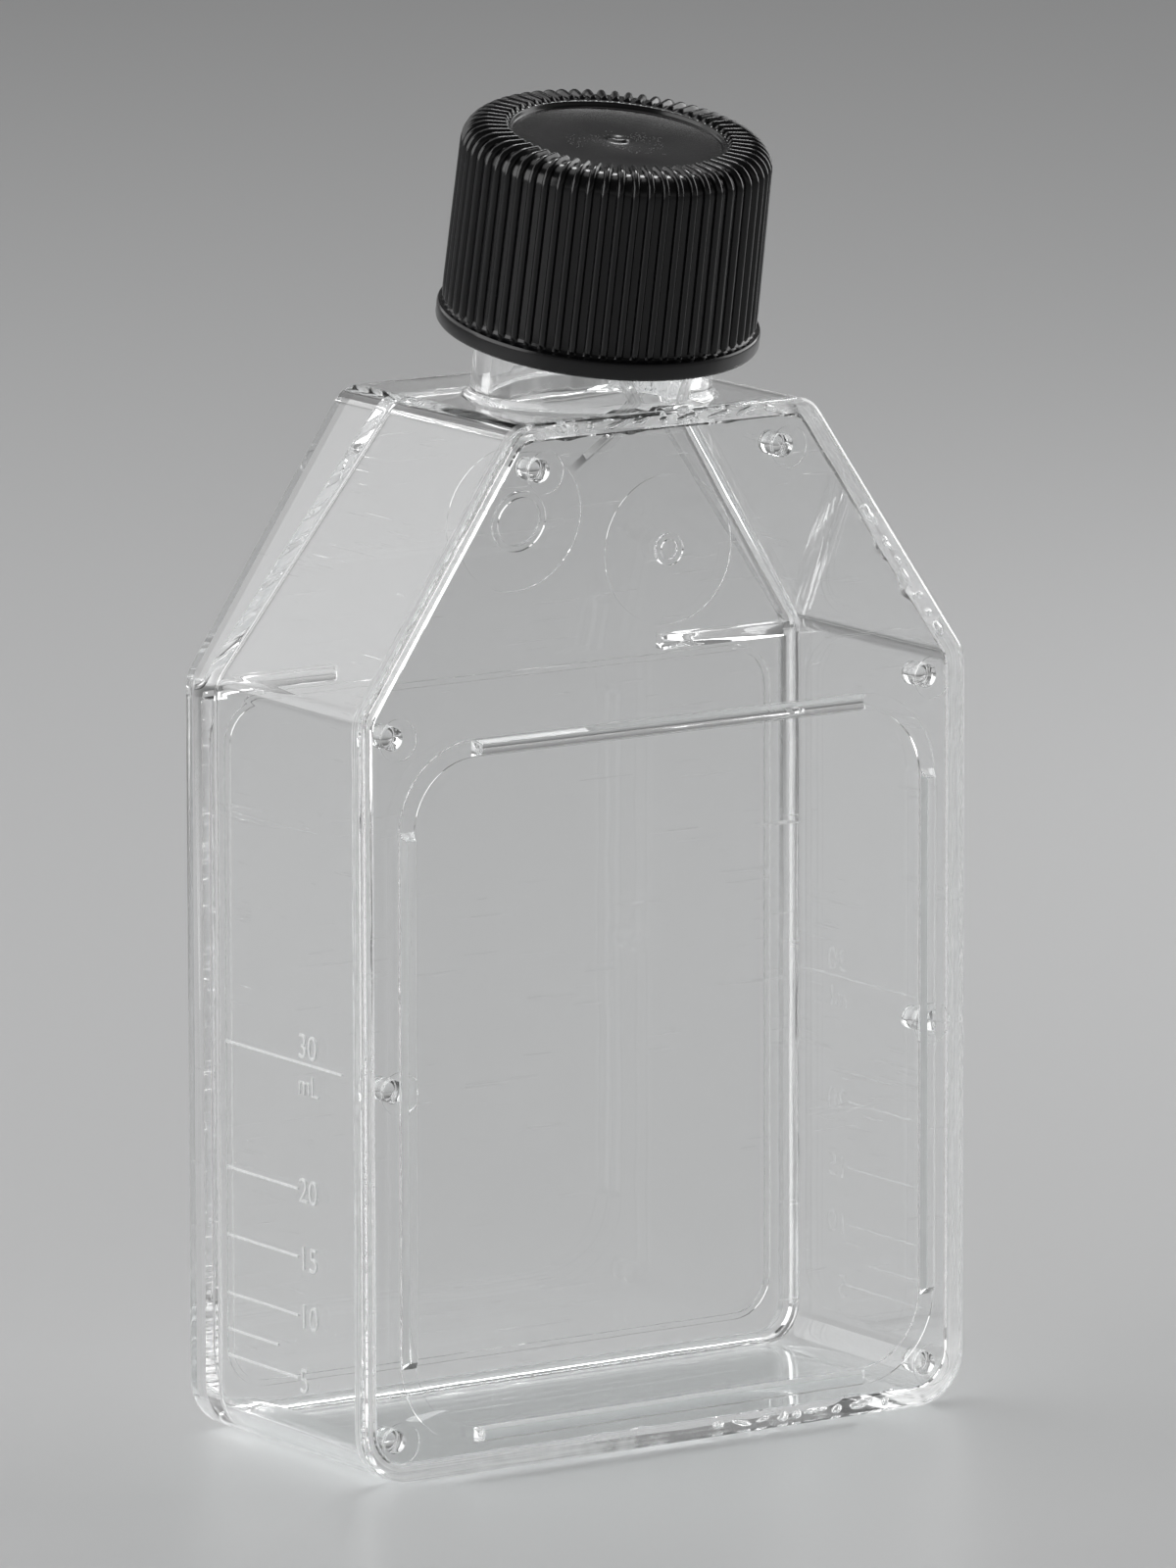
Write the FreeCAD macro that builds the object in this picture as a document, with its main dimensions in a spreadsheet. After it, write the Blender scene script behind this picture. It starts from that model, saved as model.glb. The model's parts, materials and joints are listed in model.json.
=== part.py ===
import FreeCAD, Part

# Cell culture flask with a canted neck, standing on its end wall with the screw cap on.
# X runs across the flask. -Y is the front, closed by the welded top plate, and +Y is the rear, where
# the growth floor lies inside its skirt. +Z runs from the end wall up to the cap.
# The origin is the middle of the end wall's outer face.

import math
import os

import Sketcher

# ---------------------------------------------------------------------------------- driving sizes
# Lengths in millimetres and angles in degrees. Every formula below reads them by name.

SIZES = (
    # the outline, seen from the front
    ("width", 54, "across the side walls"),
    ("depth", 24.2, "front face of the top plate to the skirt's rim"),
    ("body_height", 78.2, "end wall to top wall, outside"),
    ("shoulder_height", 57.6, "end wall to the corner where the sides start to slope"),
    ("top_width", 25.9, "across the top wall, corner to corner"),
    ("base_corner", 4, "outside rounding beside the end wall"),
    ("shoulder_corner", 3, "outside rounding at the shoulders"),
    ("top_corner", 2.5, "outside rounding beside the top wall"),
    # the tub
    ("wall", 1.3, "side, end and top walls, and the skirt"),
    ("plate_thickness", 1.4, "welded top plate"),
    ("floor_thickness", 1.3, "growth floor and ramp"),
    ("skirt_depth", 1.3, "rim of the skirt to the growth floor"),
    ("fold_drop", 0.05, "shoulder's inner rounding down to the bend between floor and ramp"),
    ("fold_round", 2, "inside bend between floor and ramp"),
    ("ramp_angle", 9, "lean of the ramp towards the front"),
    ("floor_round", 1, "rounding where the floor meets the walls"),
    ("least_round", 0.2, "smallest rounding that the mould's cutter leaves"),
    ("stop_reach", 11.5, "stacking stops, in from the skirt along the fold"),
    ("stop_width", 1.2, "stacking stops, up and down"),
    ("stop_drop", 0.3, "stacking stops, below the skirt's rim"),
    ("floor_gate_radius", 2.35, "ring of the gate on the ramp"),
    ("floor_gate_well", 5.5, "radius of the shallow well round that gate"),
    # the neck
    ("neck_angle", 11, "lean of the neck towards the front"),
    ("neck_overhang", 0.195, "front of the neck past the weld, where it leaves the top wall"),
    ("neck_wall", 1.4, "wall of the neck"),
    ("neck_reach", 18.1, "top wall to the neck's rim, along the neck"),
    ("neck_root", 0.6, "sloping foot where the neck leaves the top wall"),
    ("rim_bevel", 0.35, "broken edges of the neck's rim"),
    # the top plate
    ("plate_edge", 0.25, "broken outer edge of the plate"),
    ("ring_side", 3.7, "side wall to the middle of the stacking ring"),
    ("ring_foot", 3.05, "end wall to the middle of the stacking ring"),
    ("ring_head", 2.9, "shoulder corner down to the middle of the stacking ring"),
    ("ring_corner", 6, "corner radius of the ring at its middle"),
    ("ring_width", 1.3, "width of the ring and its bars"),
    ("ring_raise", 0.2, "height of the low ring at the corners"),
    ("bar_raise", 0.8, "height of the bars along the straight stretches"),
    ("bar_slope", 18, "slope of the bars' sides and ends"),
    ("pin_radius", 0.9, "locating pins inside the walls"),
    ("pin_length", 2, "locating pins"),
    ("pin_gap", 0.9, "side and end walls' inner faces to the nearest point of a pin"),
    ("pin_mark", 1.6, "radius of the ejector mark in front of each pin"),
    ("pin_drop", 1.3, "inner shoulder corner down to the pins there"),
    ("pin_inset", 1.4, "inner top corner to the pins there, inward and down past the pin"),
    ("plate_gate_radius", 1.2, "ring of the gate on the plate"),
    ("plate_gate_well", 5.65, "radius of the shallow well round that gate"),
    ("mark_depth", 0.12, "depth of every well and ejector mark"),
    ("gate_raise", 0.25, "height of the gate rings above the face"),
    ("gate_wall", 0.45, "wall of the gate rings"),
    # the cap and its liner
    ("cap_height", 15.6, "flange to crown"),
    ("cap_wall", 1.5, "side of the cap at its foot, between the ribs"),
    ("cap_draft", 0.8, "taper of the cap's side"),
    ("crown_thickness", 1.6, "crown above the liner"),
    ("crown_round", 1.5, "turn from the side into the crown, in two flats"),
    ("flange_reach", 0.3, "smooth flange at the cap's foot, past the ribs"),
    ("flange_height", 1.4, "smooth flange at the cap's foot"),
    ("flange_bevel", 0.3, "broken edges of the flange"),
    ("rib_count", 62, "ribs round the cap"),
    ("rib_width", 0.55, "width of a rib"),
    ("rib_raise", 0.35, "height of a rib"),
    ("rib_run", 3.4, "ribs' run inward over the crown"),
    ("dish_edge", 0.5, "ribs' ends to the sunk disc in the crown"),
    ("dish_depth", 0.4, "sunk disc in the crown"),
    ("cap_gate_radius", 0.7, "gate mark in the sunk disc"),
    ("cap_gate_raise", 0.25, "gate mark in the sunk disc"),
    ("thread_height", 0.75, "thread crest above the neck"),
    ("thread_gap", 0.2, "thread crest to the cap's inner wall"),
    ("liner_thickness", 0.85, "sealing disc"),
    ("liner_play", 0.05, "sealing disc to the crown, so that the cap turns on it"),
    ("liner_gap", 0.3, "sealing disc to the cap's inner wall"),
)

# ---------------------------------------------------------------------- places that follow from them

REAR = "(sheet.depth / 2)"
WELD = "(sheet.plate_thickness - sheet.depth / 2)"
FLOOR_BACK = "(sheet.depth / 2 - sheet.skirt_depth)"
FLOOR_FACE = "(sheet.depth / 2 - sheet.skirt_depth - sheet.floor_thickness)"
INNER_TOP = "(sheet.body_height - sheet.wall)"
INNER_SIDE = "(sheet.width / 2 - sheet.wall)"
# lean of the shoulders from the vertical, and what it takes off the inner corners
SHOULDER_LEAN = "atan((sheet.width - sheet.top_width) / 2 / (sheet.body_height - sheet.shoulder_height))"
INNER_SHOULDER = f"(sheet.shoulder_height - sheet.wall * tan({SHOULDER_LEAN} / 2))"
INNER_TOP_SIDE = f"(sheet.top_width / 2 - sheet.wall * tan(45deg - {SHOULDER_LEAN} / 2))"
INNER_SHOULDER_ROUND = "max(sheet.shoulder_corner - sheet.wall; sheet.least_round)"
# the ramp moves forward by this much for each millimetre of height
RAMP_RISE = "tan(sheet.ramp_angle * 1deg)"
# the floor folds into the ramp just before the sides start to turn in
FOLD = (
    f"({INNER_SHOULDER} - {INNER_SHOULDER_ROUND} * tan({SHOULDER_LEAN} / 2) - sheet.fold_drop"
    " - sheet.fold_round * tan(sheet.ramp_angle * 1deg / 2))"
)
RAMP_TOP_SHIFT = f"((sheet.body_height - {FOLD}) * {RAMP_RISE})"
# the back of the ramp leaves the back of the floor a little lower, so the thickness stays the same
FOLD_BACK = f"({FOLD} - sheet.floor_thickness * tan(sheet.ramp_angle * 1deg / 2))"
# the neck fills the room from the ramp, with which its bore is flush, to just past the weld
NECK_LEAN = "(sheet.neck_angle * 1deg)"
RAMP_AT_TOP = f"({FLOOR_FACE} - ({INNER_TOP} - {FOLD}) * {RAMP_RISE})"
BORE_REAR = f"({RAMP_AT_TOP} - sheet.wall * tan({NECK_LEAN}))"
NECK_FRONT = f"({WELD} - sheet.neck_overhang)"
NECK_RADIUS = f"((({BORE_REAR} - {NECK_FRONT}) * cos({NECK_LEAN}) + sheet.neck_wall) / 2)"
NECK_BORE = f"({NECK_RADIUS} - sheet.neck_wall)"
NECK_AXIS_Y = f"({NECK_FRONT} + {NECK_RADIUS} / cos({NECK_LEAN}))"
# the cap sits on the liner and the liner on the neck's rim
LINER_ROOM = "(sheet.liner_thickness + sheet.liner_play)"
CAP_FOOT = f"(sheet.neck_reach + {LINER_ROOM} + sheet.crown_thickness - sheet.cap_height)"
CAP_BORE = f"({NECK_RADIUS} + sheet.thread_height + sheet.thread_gap)"
CAP_ROOT = f"({CAP_BORE} + sheet.cap_wall)"
CAP_RADIUS = f"({CAP_ROOT} + sheet.rib_raise)"
FLANGE_RADIUS = f"({CAP_RADIUS} + sheet.flange_reach)"
RIB_END = f"({CAP_RADIUS} - sheet.rib_run)"
DISH_RADIUS = f"({RIB_END} - sheet.dish_edge)"
CAP_NARROWING = "((sheet.cap_height - sheet.flange_height) * tan(sheet.cap_draft * 1deg))"
CROWN = "(sheet.cap_height - sheet.rib_raise)"
CROWN_UNDERSIDE = "(sheet.cap_height - sheet.crown_thickness)"
# the plate's pins stand just inside the walls
PIN_SIDE = f"({INNER_SIDE} - sheet.pin_gap - sheet.pin_radius)"
PIN_FOOT = "(sheet.wall + sheet.pin_gap + sheet.pin_radius)"
PIN_SHOULDER = f"({INNER_SHOULDER} - sheet.pin_drop)"
PIN_HEAD = f"({INNER_TOP} - sheet.pin_inset - sheet.pin_radius)"
PIN_HEAD_SIDE = f"({INNER_TOP_SIDE} - sheet.pin_inset)"
# both gates lie halfway up the sloping part of what they feed
FLOOR_GATE = f"(({FOLD} + sheet.body_height) / 2)"
PLATE_GATE = "((sheet.shoulder_height + sheet.body_height) / 2)"
# a feature that grows out of a face starts this deep inside it
ROOTED = "0.3"

# two places this close are the same place
CLOSE = 0.001

doc = FreeCAD.newDocument("culture_flask")
sheet = doc.addObject("Spreadsheet::Sheet", "sheet")
for row, (alias, size, meaning) in enumerate(SIZES, start=1):
    sheet.set(f"A{row}", alias)
    sheet.set(f"B{row}", str(size))
    sheet.setAlias(f"B{row}", alias)
    sheet.set(f"C{row}", meaning)
doc.recompute()


# ------------------------------------------------------------------------------ ways of drawing

def value(formula):
    """Work a formula out in the sheet itself, in millimetres or degrees."""
    result = sheet.evalExpression(formula.replace("sheet.", ""))
    return float(getattr(result, "Value", result))


def volume_of(body):
    """Volume so far, nothing for a body with no feature yet."""
    return 0 if body.Shape.isNull() else body.Shape.Volume


def new_body(name):
    """Start a part body whose label names its file."""
    body = doc.addObject("PartDesign::Body", name)
    body.Label = name
    return body


def new_sketch(body, role, name, **offsets):
    """Start a sketch on one of the body's own origin planes, moved off it by formulas.

    The planes' own directions are: XY across and rear, XZ across and up with its normal to the
    front, YZ rear and up with its normal to the right.
    """
    plane = next(item for item in body.Origin.OriginFeatures if item.Role == role)
    sketch = body.newObject("Sketcher::SketchObject", name)
    sketch.AttachmentSupport = [(plane, "")]
    sketch.MapMode = "FlatFace"
    for axis in ("x", "y", "z"):
        if axis in offsets:
            sketch.setExpression(f"AttachmentOffset.Base.{axis}", offsets[axis])
    if "turn" in offsets:
        sketch.AttachmentOffset = FreeCAD.Placement(
            sketch.AttachmentOffset.Base, FreeCAD.Rotation(offsets["about"], 1)
        )
        sketch.setExpression("AttachmentOffset.Rotation.Angle", offsets["turn"])
    return sketch


def hold(sketch, kind, geometry, formula, point=None):
    """Bind one dimension of a sketch to its formula."""
    if point is None:
        index = sketch.addConstraint(Sketcher.Constraint(kind, geometry, value(formula)))
    else:
        index = sketch.addConstraint(
            Sketcher.Constraint(kind, -1, 1, geometry, point, value(formula))
        )
    sketch.setExpression(f"Constraints[{index}]", formula)


def draw_outline(sketch, corners):
    """Draw a closed outline. Each corner gives formulas for across, up and, if round, its radius."""
    points = [FreeCAD.Vector(value(corner[0]), value(corner[1]), 0) for corner in corners]
    count = len(points)
    first = sketch.GeometryCount
    for index in range(count):
        sketch.addGeometry(Part.LineSegment(points[index], points[(index + 1) % count]), False)
    for index in range(count):
        before = first + (index - 1) % count
        sketch.addConstraint(Sketcher.Constraint("Coincident", before, 2, first + index, 1))
    for index, corner in enumerate(corners):
        hold(sketch, "DistanceX", first + index, corner[0], point=1)
        hold(sketch, "DistanceY", first + index, corner[1], point=1)
    for index, corner in enumerate(corners):
        if len(corner) == 3:
            arc = sketch.GeometryCount
            sketch.fillet(first + index, 1, value(corner[2]), True, True, False)
            hold(sketch, "Radius", arc, corner[2])


def draw_circle(sketch, across, up, radius):
    """Draw a circle held by formulas for its centre and radius."""
    centre = FreeCAD.Vector(value(across), value(up), 0)
    normal = FreeCAD.Vector(0, 0, 1)
    index = sketch.addGeometry(Part.Circle(centre, normal, value(radius)), False)
    hold(sketch, "DistanceX", index, across, point=3)
    hold(sketch, "DistanceY", index, up, point=3)
    hold(sketch, "Radius", index, radius)


def mirrored(corners):
    """Close an outline with the mirror image of its right half, given from the foot up."""
    left = [("-" + corner[0],) + tuple(corner[1:]) for corner in reversed(corners)]
    return list(corners) + left


def extrude(body, kind, sketch, name, length, backwards=False, both_ways=False, slope=None):
    """Pad or pocket a sketch by a formula, and check that it changed the solid."""
    volume = volume_of(body)
    feature = body.newObject(f"PartDesign::{kind}", name)
    feature.Profile = sketch
    feature.setExpression("Length", length)
    feature.Reversed = backwards
    if both_ways:
        feature.SideType = "Symmetric"
    if slope:
        feature.setExpression("TaperAngle", slope)
    sketch.Visibility = False
    doc.recompute()
    check_change(body, feature, kind == "Pad", volume)
    return feature


def revolve(body, kind, sketch, name):
    """Revolve or groove a sketch about its own upright axis, and check that it changed the solid."""
    volume = volume_of(body)
    feature = body.newObject(f"PartDesign::{kind}", name)
    feature.Profile = sketch
    feature.ReferenceAxis = (sketch, ["V_Axis"])
    feature.Angle = 360
    sketch.Visibility = False
    doc.recompute()
    check_change(body, feature, kind == "Revolution", volume)
    return feature


def finish_edges(body, kind, name, size, test):
    """Fillet or chamfer, by a formula, every edge of the body that passes the test."""
    base = body.Tip
    names = [f"Edge{place}" for place, edge in enumerate(base.Shape.Edges, start=1) if test(edge)]
    if not names:
        raise RuntimeError(f"{name} found no edge")
    feature = body.newObject(f"PartDesign::{kind}", name)
    feature.Base = (base, names)
    feature.setExpression("Radius" if kind == "Fillet" else "Size", size)
    doc.recompute()
    if feature.Shape.isNull() or not feature.Shape.isValid():
        raise RuntimeError(f"{name} did not finish its edges cleanly")
    return feature


def in_plane(axis, place):
    """Test for an edge that lies in the plane at this place on an axis."""

    def test(edge):
        box = edge.BoundBox
        low = getattr(box, f"{axis}Min")
        return abs(low - place) < CLOSE and getattr(box, f"{axis}Length") < CLOSE

    return test


def lies_on_fold(rearward, up):
    """Test for the edge along a fold across the flask, at these formulas."""
    place_y = value(rearward)
    place_z = value(up)

    def test(edge):
        ends = [vertex.Point for vertex in edge.Vertexes]
        return all(abs(end.y - place_y) < CLOSE and abs(end.z - place_z) < CLOSE for end in ends)

    return test


def faces_rear(face):
    """Whether a face's outward side looks to the rear, as the floor's and the ramp's do."""
    low_u, high_u, low_v, high_v = face.ParameterRange
    return face.normalAt((low_u + high_u) / 2, (low_v + high_v) / 2).y > 0.9


def check_change(body, feature, adds, before):
    """Stop if a feature cut nothing, added nothing or broke the solid."""
    gained = body.Shape.Volume - before
    if not body.Shape.isValid() or gained == 0 or (gained > 0) != adds:
        raise RuntimeError(f"{feature.Label} changed the volume by {gained:.3f} cubic millimetres")


def subtract(body, tool, name):
    """Take another body out of this one."""
    volume = volume_of(body)
    feature = body.newObject("PartDesign::Boolean", name)
    feature.Type = "Cut"
    feature.setObjects([tool])
    doc.recompute()
    check_change(body, feature, False, volume)
    return feature


# the shared outlines, given as the right half from the foot up
OUTER_HALF = (
    ("sheet.width / 2", "0", "sheet.base_corner"),
    ("sheet.width / 2", "sheet.shoulder_height", "sheet.shoulder_corner"),
    ("sheet.top_width / 2", "sheet.body_height", "sheet.top_corner"),
)
INNER_HALF = (
    (INNER_SIDE, "sheet.wall", "max(sheet.base_corner - sheet.wall; sheet.least_round)"),
    (INNER_SIDE, INNER_SHOULDER, INNER_SHOULDER_ROUND),
    (INNER_TOP_SIDE, INNER_TOP, "max(sheet.top_corner - sheet.wall; sheet.least_round)"),
)


# ------------------------------------------------------------------------------ the tub
# One moulding. A solid block of the outline carries the neck. The front is cut back for the plate,
# the chamber's core is taken out of the front and the skirt's core out of the rear, and what is left
# between the two cores is the growth floor and the ramp.

def make_chamber_core():
    """The space inside, with its far side lying on the floor and the ramp.

    It starts in front of the weld, so that it cuts clean through the plate's seat.
    """
    core = new_body("chamber_core")
    sketch = new_sketch(core, "XZ_Plane", "chamber_outline", z=REAR)
    draw_outline(sketch, mirrored(INNER_HALF))
    extrude(core, "Pad", sketch, "chamber_depth", f"{FLOOR_FACE} + {REAR}", backwards=True)
    # take off what lies behind the ramp
    sketch = new_sketch(core, "YZ_Plane", "behind_ramp")
    draw_outline(sketch, (
        (FLOOR_FACE, FOLD),
        (f"{REAR} + sheet.wall", FOLD),
        (f"{REAR} + sheet.wall", "sheet.body_height"),
        (f"{FLOOR_FACE} - {RAMP_TOP_SHIFT}", "sheet.body_height"),
    ))
    extrude(core, "Pocket", sketch, "ramp_face", "sheet.width", both_ways=True)
    finish_edges(core, "Fillet", "fold_bend", "sheet.fold_round", lies_on_fold(FLOOR_FACE, FOLD))

    def beside_floor(edge):
        beside = core.Tip.Shape.ancestorsOfType(edge, Part.Face)
        return len({faces_rear(face) for face in beside}) == 2

    finish_edges(core, "Fillet", "floor_edges", "sheet.floor_round", beside_floor)
    return core


def make_skirt_core():
    """The space behind the floor, inside the skirt, from past its rim: it deepens with the ramp."""
    core = new_body("skirt_core")
    past_rim = f"({REAR} + sheet.wall)"
    sketch = new_sketch(core, "XZ_Plane", "skirt_outline", z=f"-{past_rim}")
    draw_outline(sketch, mirrored(INNER_HALF))
    extrude(core, "Pad", sketch, "skirt_reach", f"{past_rim} - {FLOOR_BACK} + {RAMP_TOP_SHIFT}")
    # take off what lies in front of the floor's back and the ramp's back
    sketch = new_sketch(core, "YZ_Plane", "before_floor")
    draw_outline(sketch, (
        (f"{FLOOR_BACK} - {RAMP_TOP_SHIFT} - sheet.wall", "0"),
        (FLOOR_BACK, "0"),
        (FLOOR_BACK, FOLD_BACK),
        (f"{FLOOR_BACK} - (sheet.body_height - {FOLD_BACK}) * {RAMP_RISE}", "sheet.body_height"),
        (f"{FLOOR_BACK} - {RAMP_TOP_SHIFT} - sheet.wall", "sheet.body_height"),
    ))
    extrude(core, "Pocket", sketch, "floor_back", "sheet.width", both_ways=True)
    bend = "sheet.fold_round + sheet.floor_thickness"
    finish_edges(core, "Fillet", "fold_back_bend", bend, lies_on_fold(FLOOR_BACK, FOLD_BACK))
    return core


def make_flask_body():
    body = new_body("flask_body")
    sketch = new_sketch(body, "XZ_Plane", "block_outline", z=f"-{REAR}")
    draw_outline(sketch, mirrored(OUTER_HALF))
    extrude(body, "Pad", sketch, "block", "sheet.depth")
    # the neck, turned about its own canted axis, rooted well inside the block
    neck_frame = {
        "x": NECK_AXIS_Y,
        "y": "sheet.body_height",
        "about": FreeCAD.Vector(0, 0, 1),
        "turn": "sheet.neck_angle",
    }
    root_depth = f"({NECK_RADIUS} * tan({NECK_LEAN}) + sheet.wall)"
    sketch = new_sketch(body, "YZ_Plane", "neck_profile", **neck_frame)
    draw_outline(sketch, (
        ("0", f"-{root_depth}"),
        (NECK_RADIUS, f"-{root_depth}"),
        (NECK_RADIUS, "sheet.neck_reach"),
        ("0", "sheet.neck_reach"),
    ))
    revolve(body, "Revolution", sketch, "neck")
    top_z = value("sheet.body_height")
    on_top = in_plane("Z", top_z)

    def at_root(edge):
        return on_top(edge) and min(edge.BoundBox.XLength, edge.BoundBox.YLength) > CLOSE

    # the sloping foot stays on the block, in front of the neck too
    front_room = f"({REAR} + {NECK_FRONT} - sheet.least_round)"
    root = f"max(min(sheet.neck_root; {front_room}); sheet.least_round)"
    finish_edges(body, "Chamfer", "neck_foot", root, at_root)
    # the plate's seat: everything in front of the weld, up to the top wall
    sketch = new_sketch(body, "XZ_Plane", "plate_seat_outline", z=REAR)
    draw_outline(sketch, (
        ("-sheet.width", "-sheet.wall"),
        ("sheet.width", "-sheet.wall"),
        ("sheet.width", "sheet.body_height"),
        ("-sheet.width", "sheet.body_height"),
    ))
    extrude(body, "Pocket", sketch, "plate_seat", "sheet.plate_thickness")
    subtract(body, make_chamber_core(), "chamber")
    subtract(body, make_skirt_core(), "skirt_recess")
    # the bore, from the rim down to just inside the top wall
    bore_depth = f"({NECK_BORE} * tan({NECK_LEAN}) + sheet.wall / cos({NECK_LEAN}))"
    sketch = new_sketch(body, "YZ_Plane", "bore_profile", **neck_frame)
    draw_outline(sketch, (
        ("0", f"-{bore_depth}"),
        (NECK_BORE, f"-{bore_depth}"),
        (NECK_BORE, "sheet.neck_reach + 1"),
        ("0", "sheet.neck_reach + 1"),
    ))
    revolve(body, "Groove", sketch, "bore")
    lean = math.radians(value("sheet.neck_angle"))
    reach = value("sheet.neck_reach")
    rim_centre = FreeCAD.Vector(
        0, value(NECK_AXIS_Y) - reach * math.sin(lean), top_z + reach * math.cos(lean)
    )

    def at_rim(edge):
        return edge.Length > CLOSE and (edge.CenterOfGravity - rim_centre).Length < CLOSE

    finish_edges(body, "Chamfer", "rim_edges", "min(sheet.rim_bevel; sheet.neck_wall / 3)", at_rim)
    # stacking stops behind the fold, from the skirt inwards
    sketch = new_sketch(body, "XZ_Plane", "stop_outlines", z=f"-({FLOOR_BACK} - {ROOTED})")
    for side in ("-", ""):
        draw_outline(sketch, (
            (f"{side}({INNER_SIDE} - sheet.stop_reach)", f"{FOLD} - sheet.stop_width / 2"),
            (f"{side}({INNER_SIDE} + {ROOTED})", f"{FOLD} - sheet.stop_width / 2"),
            (f"{side}({INNER_SIDE} + {ROOTED})", f"{FOLD} + sheet.stop_width / 2"),
            (f"{side}({INNER_SIDE} - sheet.stop_reach)", f"{FOLD} + sheet.stop_width / 2"),
        ))
    stop_height = f"sheet.skirt_depth - sheet.stop_drop + {ROOTED}"
    extrude(body, "Pad", sketch, "stacking_stops", stop_height, backwards=True)
    add_gate(body, "floor_gate", {
        "y": FLOOR_GATE,
        "z": f"-({FLOOR_BACK} - ({FLOOR_GATE} - {FOLD_BACK}) * {RAMP_RISE})",
        "about": FreeCAD.Vector(1, 0, 0),
        "turn": "sheet.ramp_angle",
    }, True)
    return body


# ------------------------------------------------------------------------------ the plate

def make_top_plate():
    """Flat plate welded on the tub's open front: stacking ring outside, pins inside."""
    body = new_body("top_plate")
    sketch = new_sketch(body, "XZ_Plane", "plate_outline", z=REAR)
    draw_outline(sketch, mirrored(OUTER_HALF))
    extrude(body, "Pad", sketch, "plate", "sheet.plate_thickness", backwards=True)
    on_front = in_plane("Y", -value(REAR))
    edge_size = "min(sheet.plate_edge; sheet.plate_thickness / 2)"
    finish_edges(body, "Chamfer", "front_edge", edge_size, on_front)
    ring_side = "(sheet.width / 2 - sheet.ring_side)"
    ring_head = "(sheet.shoulder_height - sheet.ring_head)"
    half = "sheet.ring_width / 2"
    # the low ring runs all round
    sketch = new_sketch(body, "XZ_Plane", "ring_outline", z=REAR)
    for sign, corner in (("+", f"sheet.ring_corner + {half}"), ("-", f"sheet.ring_corner - {half}")):
        inner_foot = "-" if sign == "+" else "+"
        draw_outline(sketch, mirrored((
            (f"({ring_side} {sign} {half})", f"sheet.ring_foot {inner_foot} {half}", corner),
            (f"({ring_side} {sign} {half})", f"{ring_head} {sign} {half}", corner),
        )))
    extrude(body, "Pad", sketch, "stacking_ring", "sheet.ring_raise")
    # higher bars stand on its four straight stretches
    sketch = new_sketch(body, "XZ_Plane", "bar_outlines", z=REAR)
    straight_side = f"({ring_side} - sheet.ring_corner)"
    for middle in ("sheet.ring_foot", ring_head):
        draw_outline(sketch, (
            (f"-{straight_side}", f"{middle} - {half}"),
            (straight_side, f"{middle} - {half}"),
            (straight_side, f"{middle} + {half}"),
            (f"-{straight_side}", f"{middle} + {half}"),
        ))
    for side in ("-", ""):
        draw_outline(sketch, (
            (f"{side}({ring_side} - {half})", "sheet.ring_foot + sheet.ring_corner"),
            (f"{side}({ring_side} + {half})", "sheet.ring_foot + sheet.ring_corner"),
            (f"{side}({ring_side} + {half})", f"{ring_head} - sheet.ring_corner"),
            (f"{side}({ring_side} - {half})", f"{ring_head} - sheet.ring_corner"),
        ))
    extrude(body, "Pad", sketch, "stacking_bars", "sheet.bar_raise", slope="-sheet.bar_slope")
    # pins just inside the walls, each with the mark of its ejector in front of it
    pins = []
    for side in ("-", ""):
        pins.append((f"{side}{PIN_SIDE}", PIN_FOOT))
        pins.append((f"{side}{PIN_SIDE}", f"({PIN_FOOT} + {PIN_SHOULDER}) / 2"))
        pins.append((f"{side}{PIN_SIDE}", PIN_SHOULDER))
        pins.append((f"{side}{PIN_HEAD_SIDE}", PIN_HEAD))
    sketch = new_sketch(body, "XZ_Plane", "pin_circles", z=f"-{WELD}")
    for across, up in pins:
        draw_circle(sketch, across, up, "sheet.pin_radius")
    extrude(body, "Pad", sketch, "pins", "sheet.pin_length", backwards=True)
    sketch = new_sketch(body, "XZ_Plane", "pin_marks_circles", z=REAR)
    for across, up in pins:
        draw_circle(sketch, across, up, "sheet.pin_mark")
    extrude(body, "Pocket", sketch, "pin_marks", "sheet.mark_depth")
    add_gate(body, "plate_gate", {"y": PLATE_GATE, "z": REAR}, False)
    return body


def add_gate(body, name, frame, inward):
    """A shallow round well in a face, with the ring that the gate left in its middle."""
    sketch = new_sketch(body, "XZ_Plane", f"{name}_well_circle", **frame)
    draw_circle(sketch, "0", "0", f"sheet.{name}_well")
    extrude(body, "Pocket", sketch, f"{name}_well", "sheet.mark_depth", backwards=inward)
    sketch = new_sketch(body, "XZ_Plane", f"{name}_ring_circles", **frame)
    draw_circle(sketch, "0", "0", f"sheet.{name}_radius")
    draw_circle(sketch, "0", "0", f"sheet.{name}_radius - sheet.gate_wall")
    extrude(body, "Pad", sketch, f"{name}_ring", "2 * sheet.gate_raise", both_ways=True)


# ------------------------------------------------------------------------------ the cap
# Modelled upright on its own foot, then placed on the neck's axis.

def place_on_neck(body, along):
    """Stand a body on the neck's axis, this far from the top wall."""
    body.Placement = FreeCAD.Placement(
        FreeCAD.Vector(0, 0, 0), FreeCAD.Rotation(FreeCAD.Vector(1, 0, 0), 1)
    )
    body.setExpression("Placement.Base.y", f"{NECK_AXIS_Y} - {along} * sin({NECK_LEAN})")
    body.setExpression("Placement.Base.z", f"sheet.body_height + {along} * cos({NECK_LEAN})")
    body.setExpression("Placement.Rotation.Angle", "sheet.neck_angle")


def two_flats(across, up, radius):
    """Corners that turn an outline from the side into the crown in two flats, in place of an arc."""
    middle = f"({radius}) * (1 - sin(45deg))"
    return (
        (across, f"{up} - ({radius})"),
        (f"{across} - {middle}", f"{up} - {middle}"),
        (f"{across} - ({radius})", up),
    )


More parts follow.
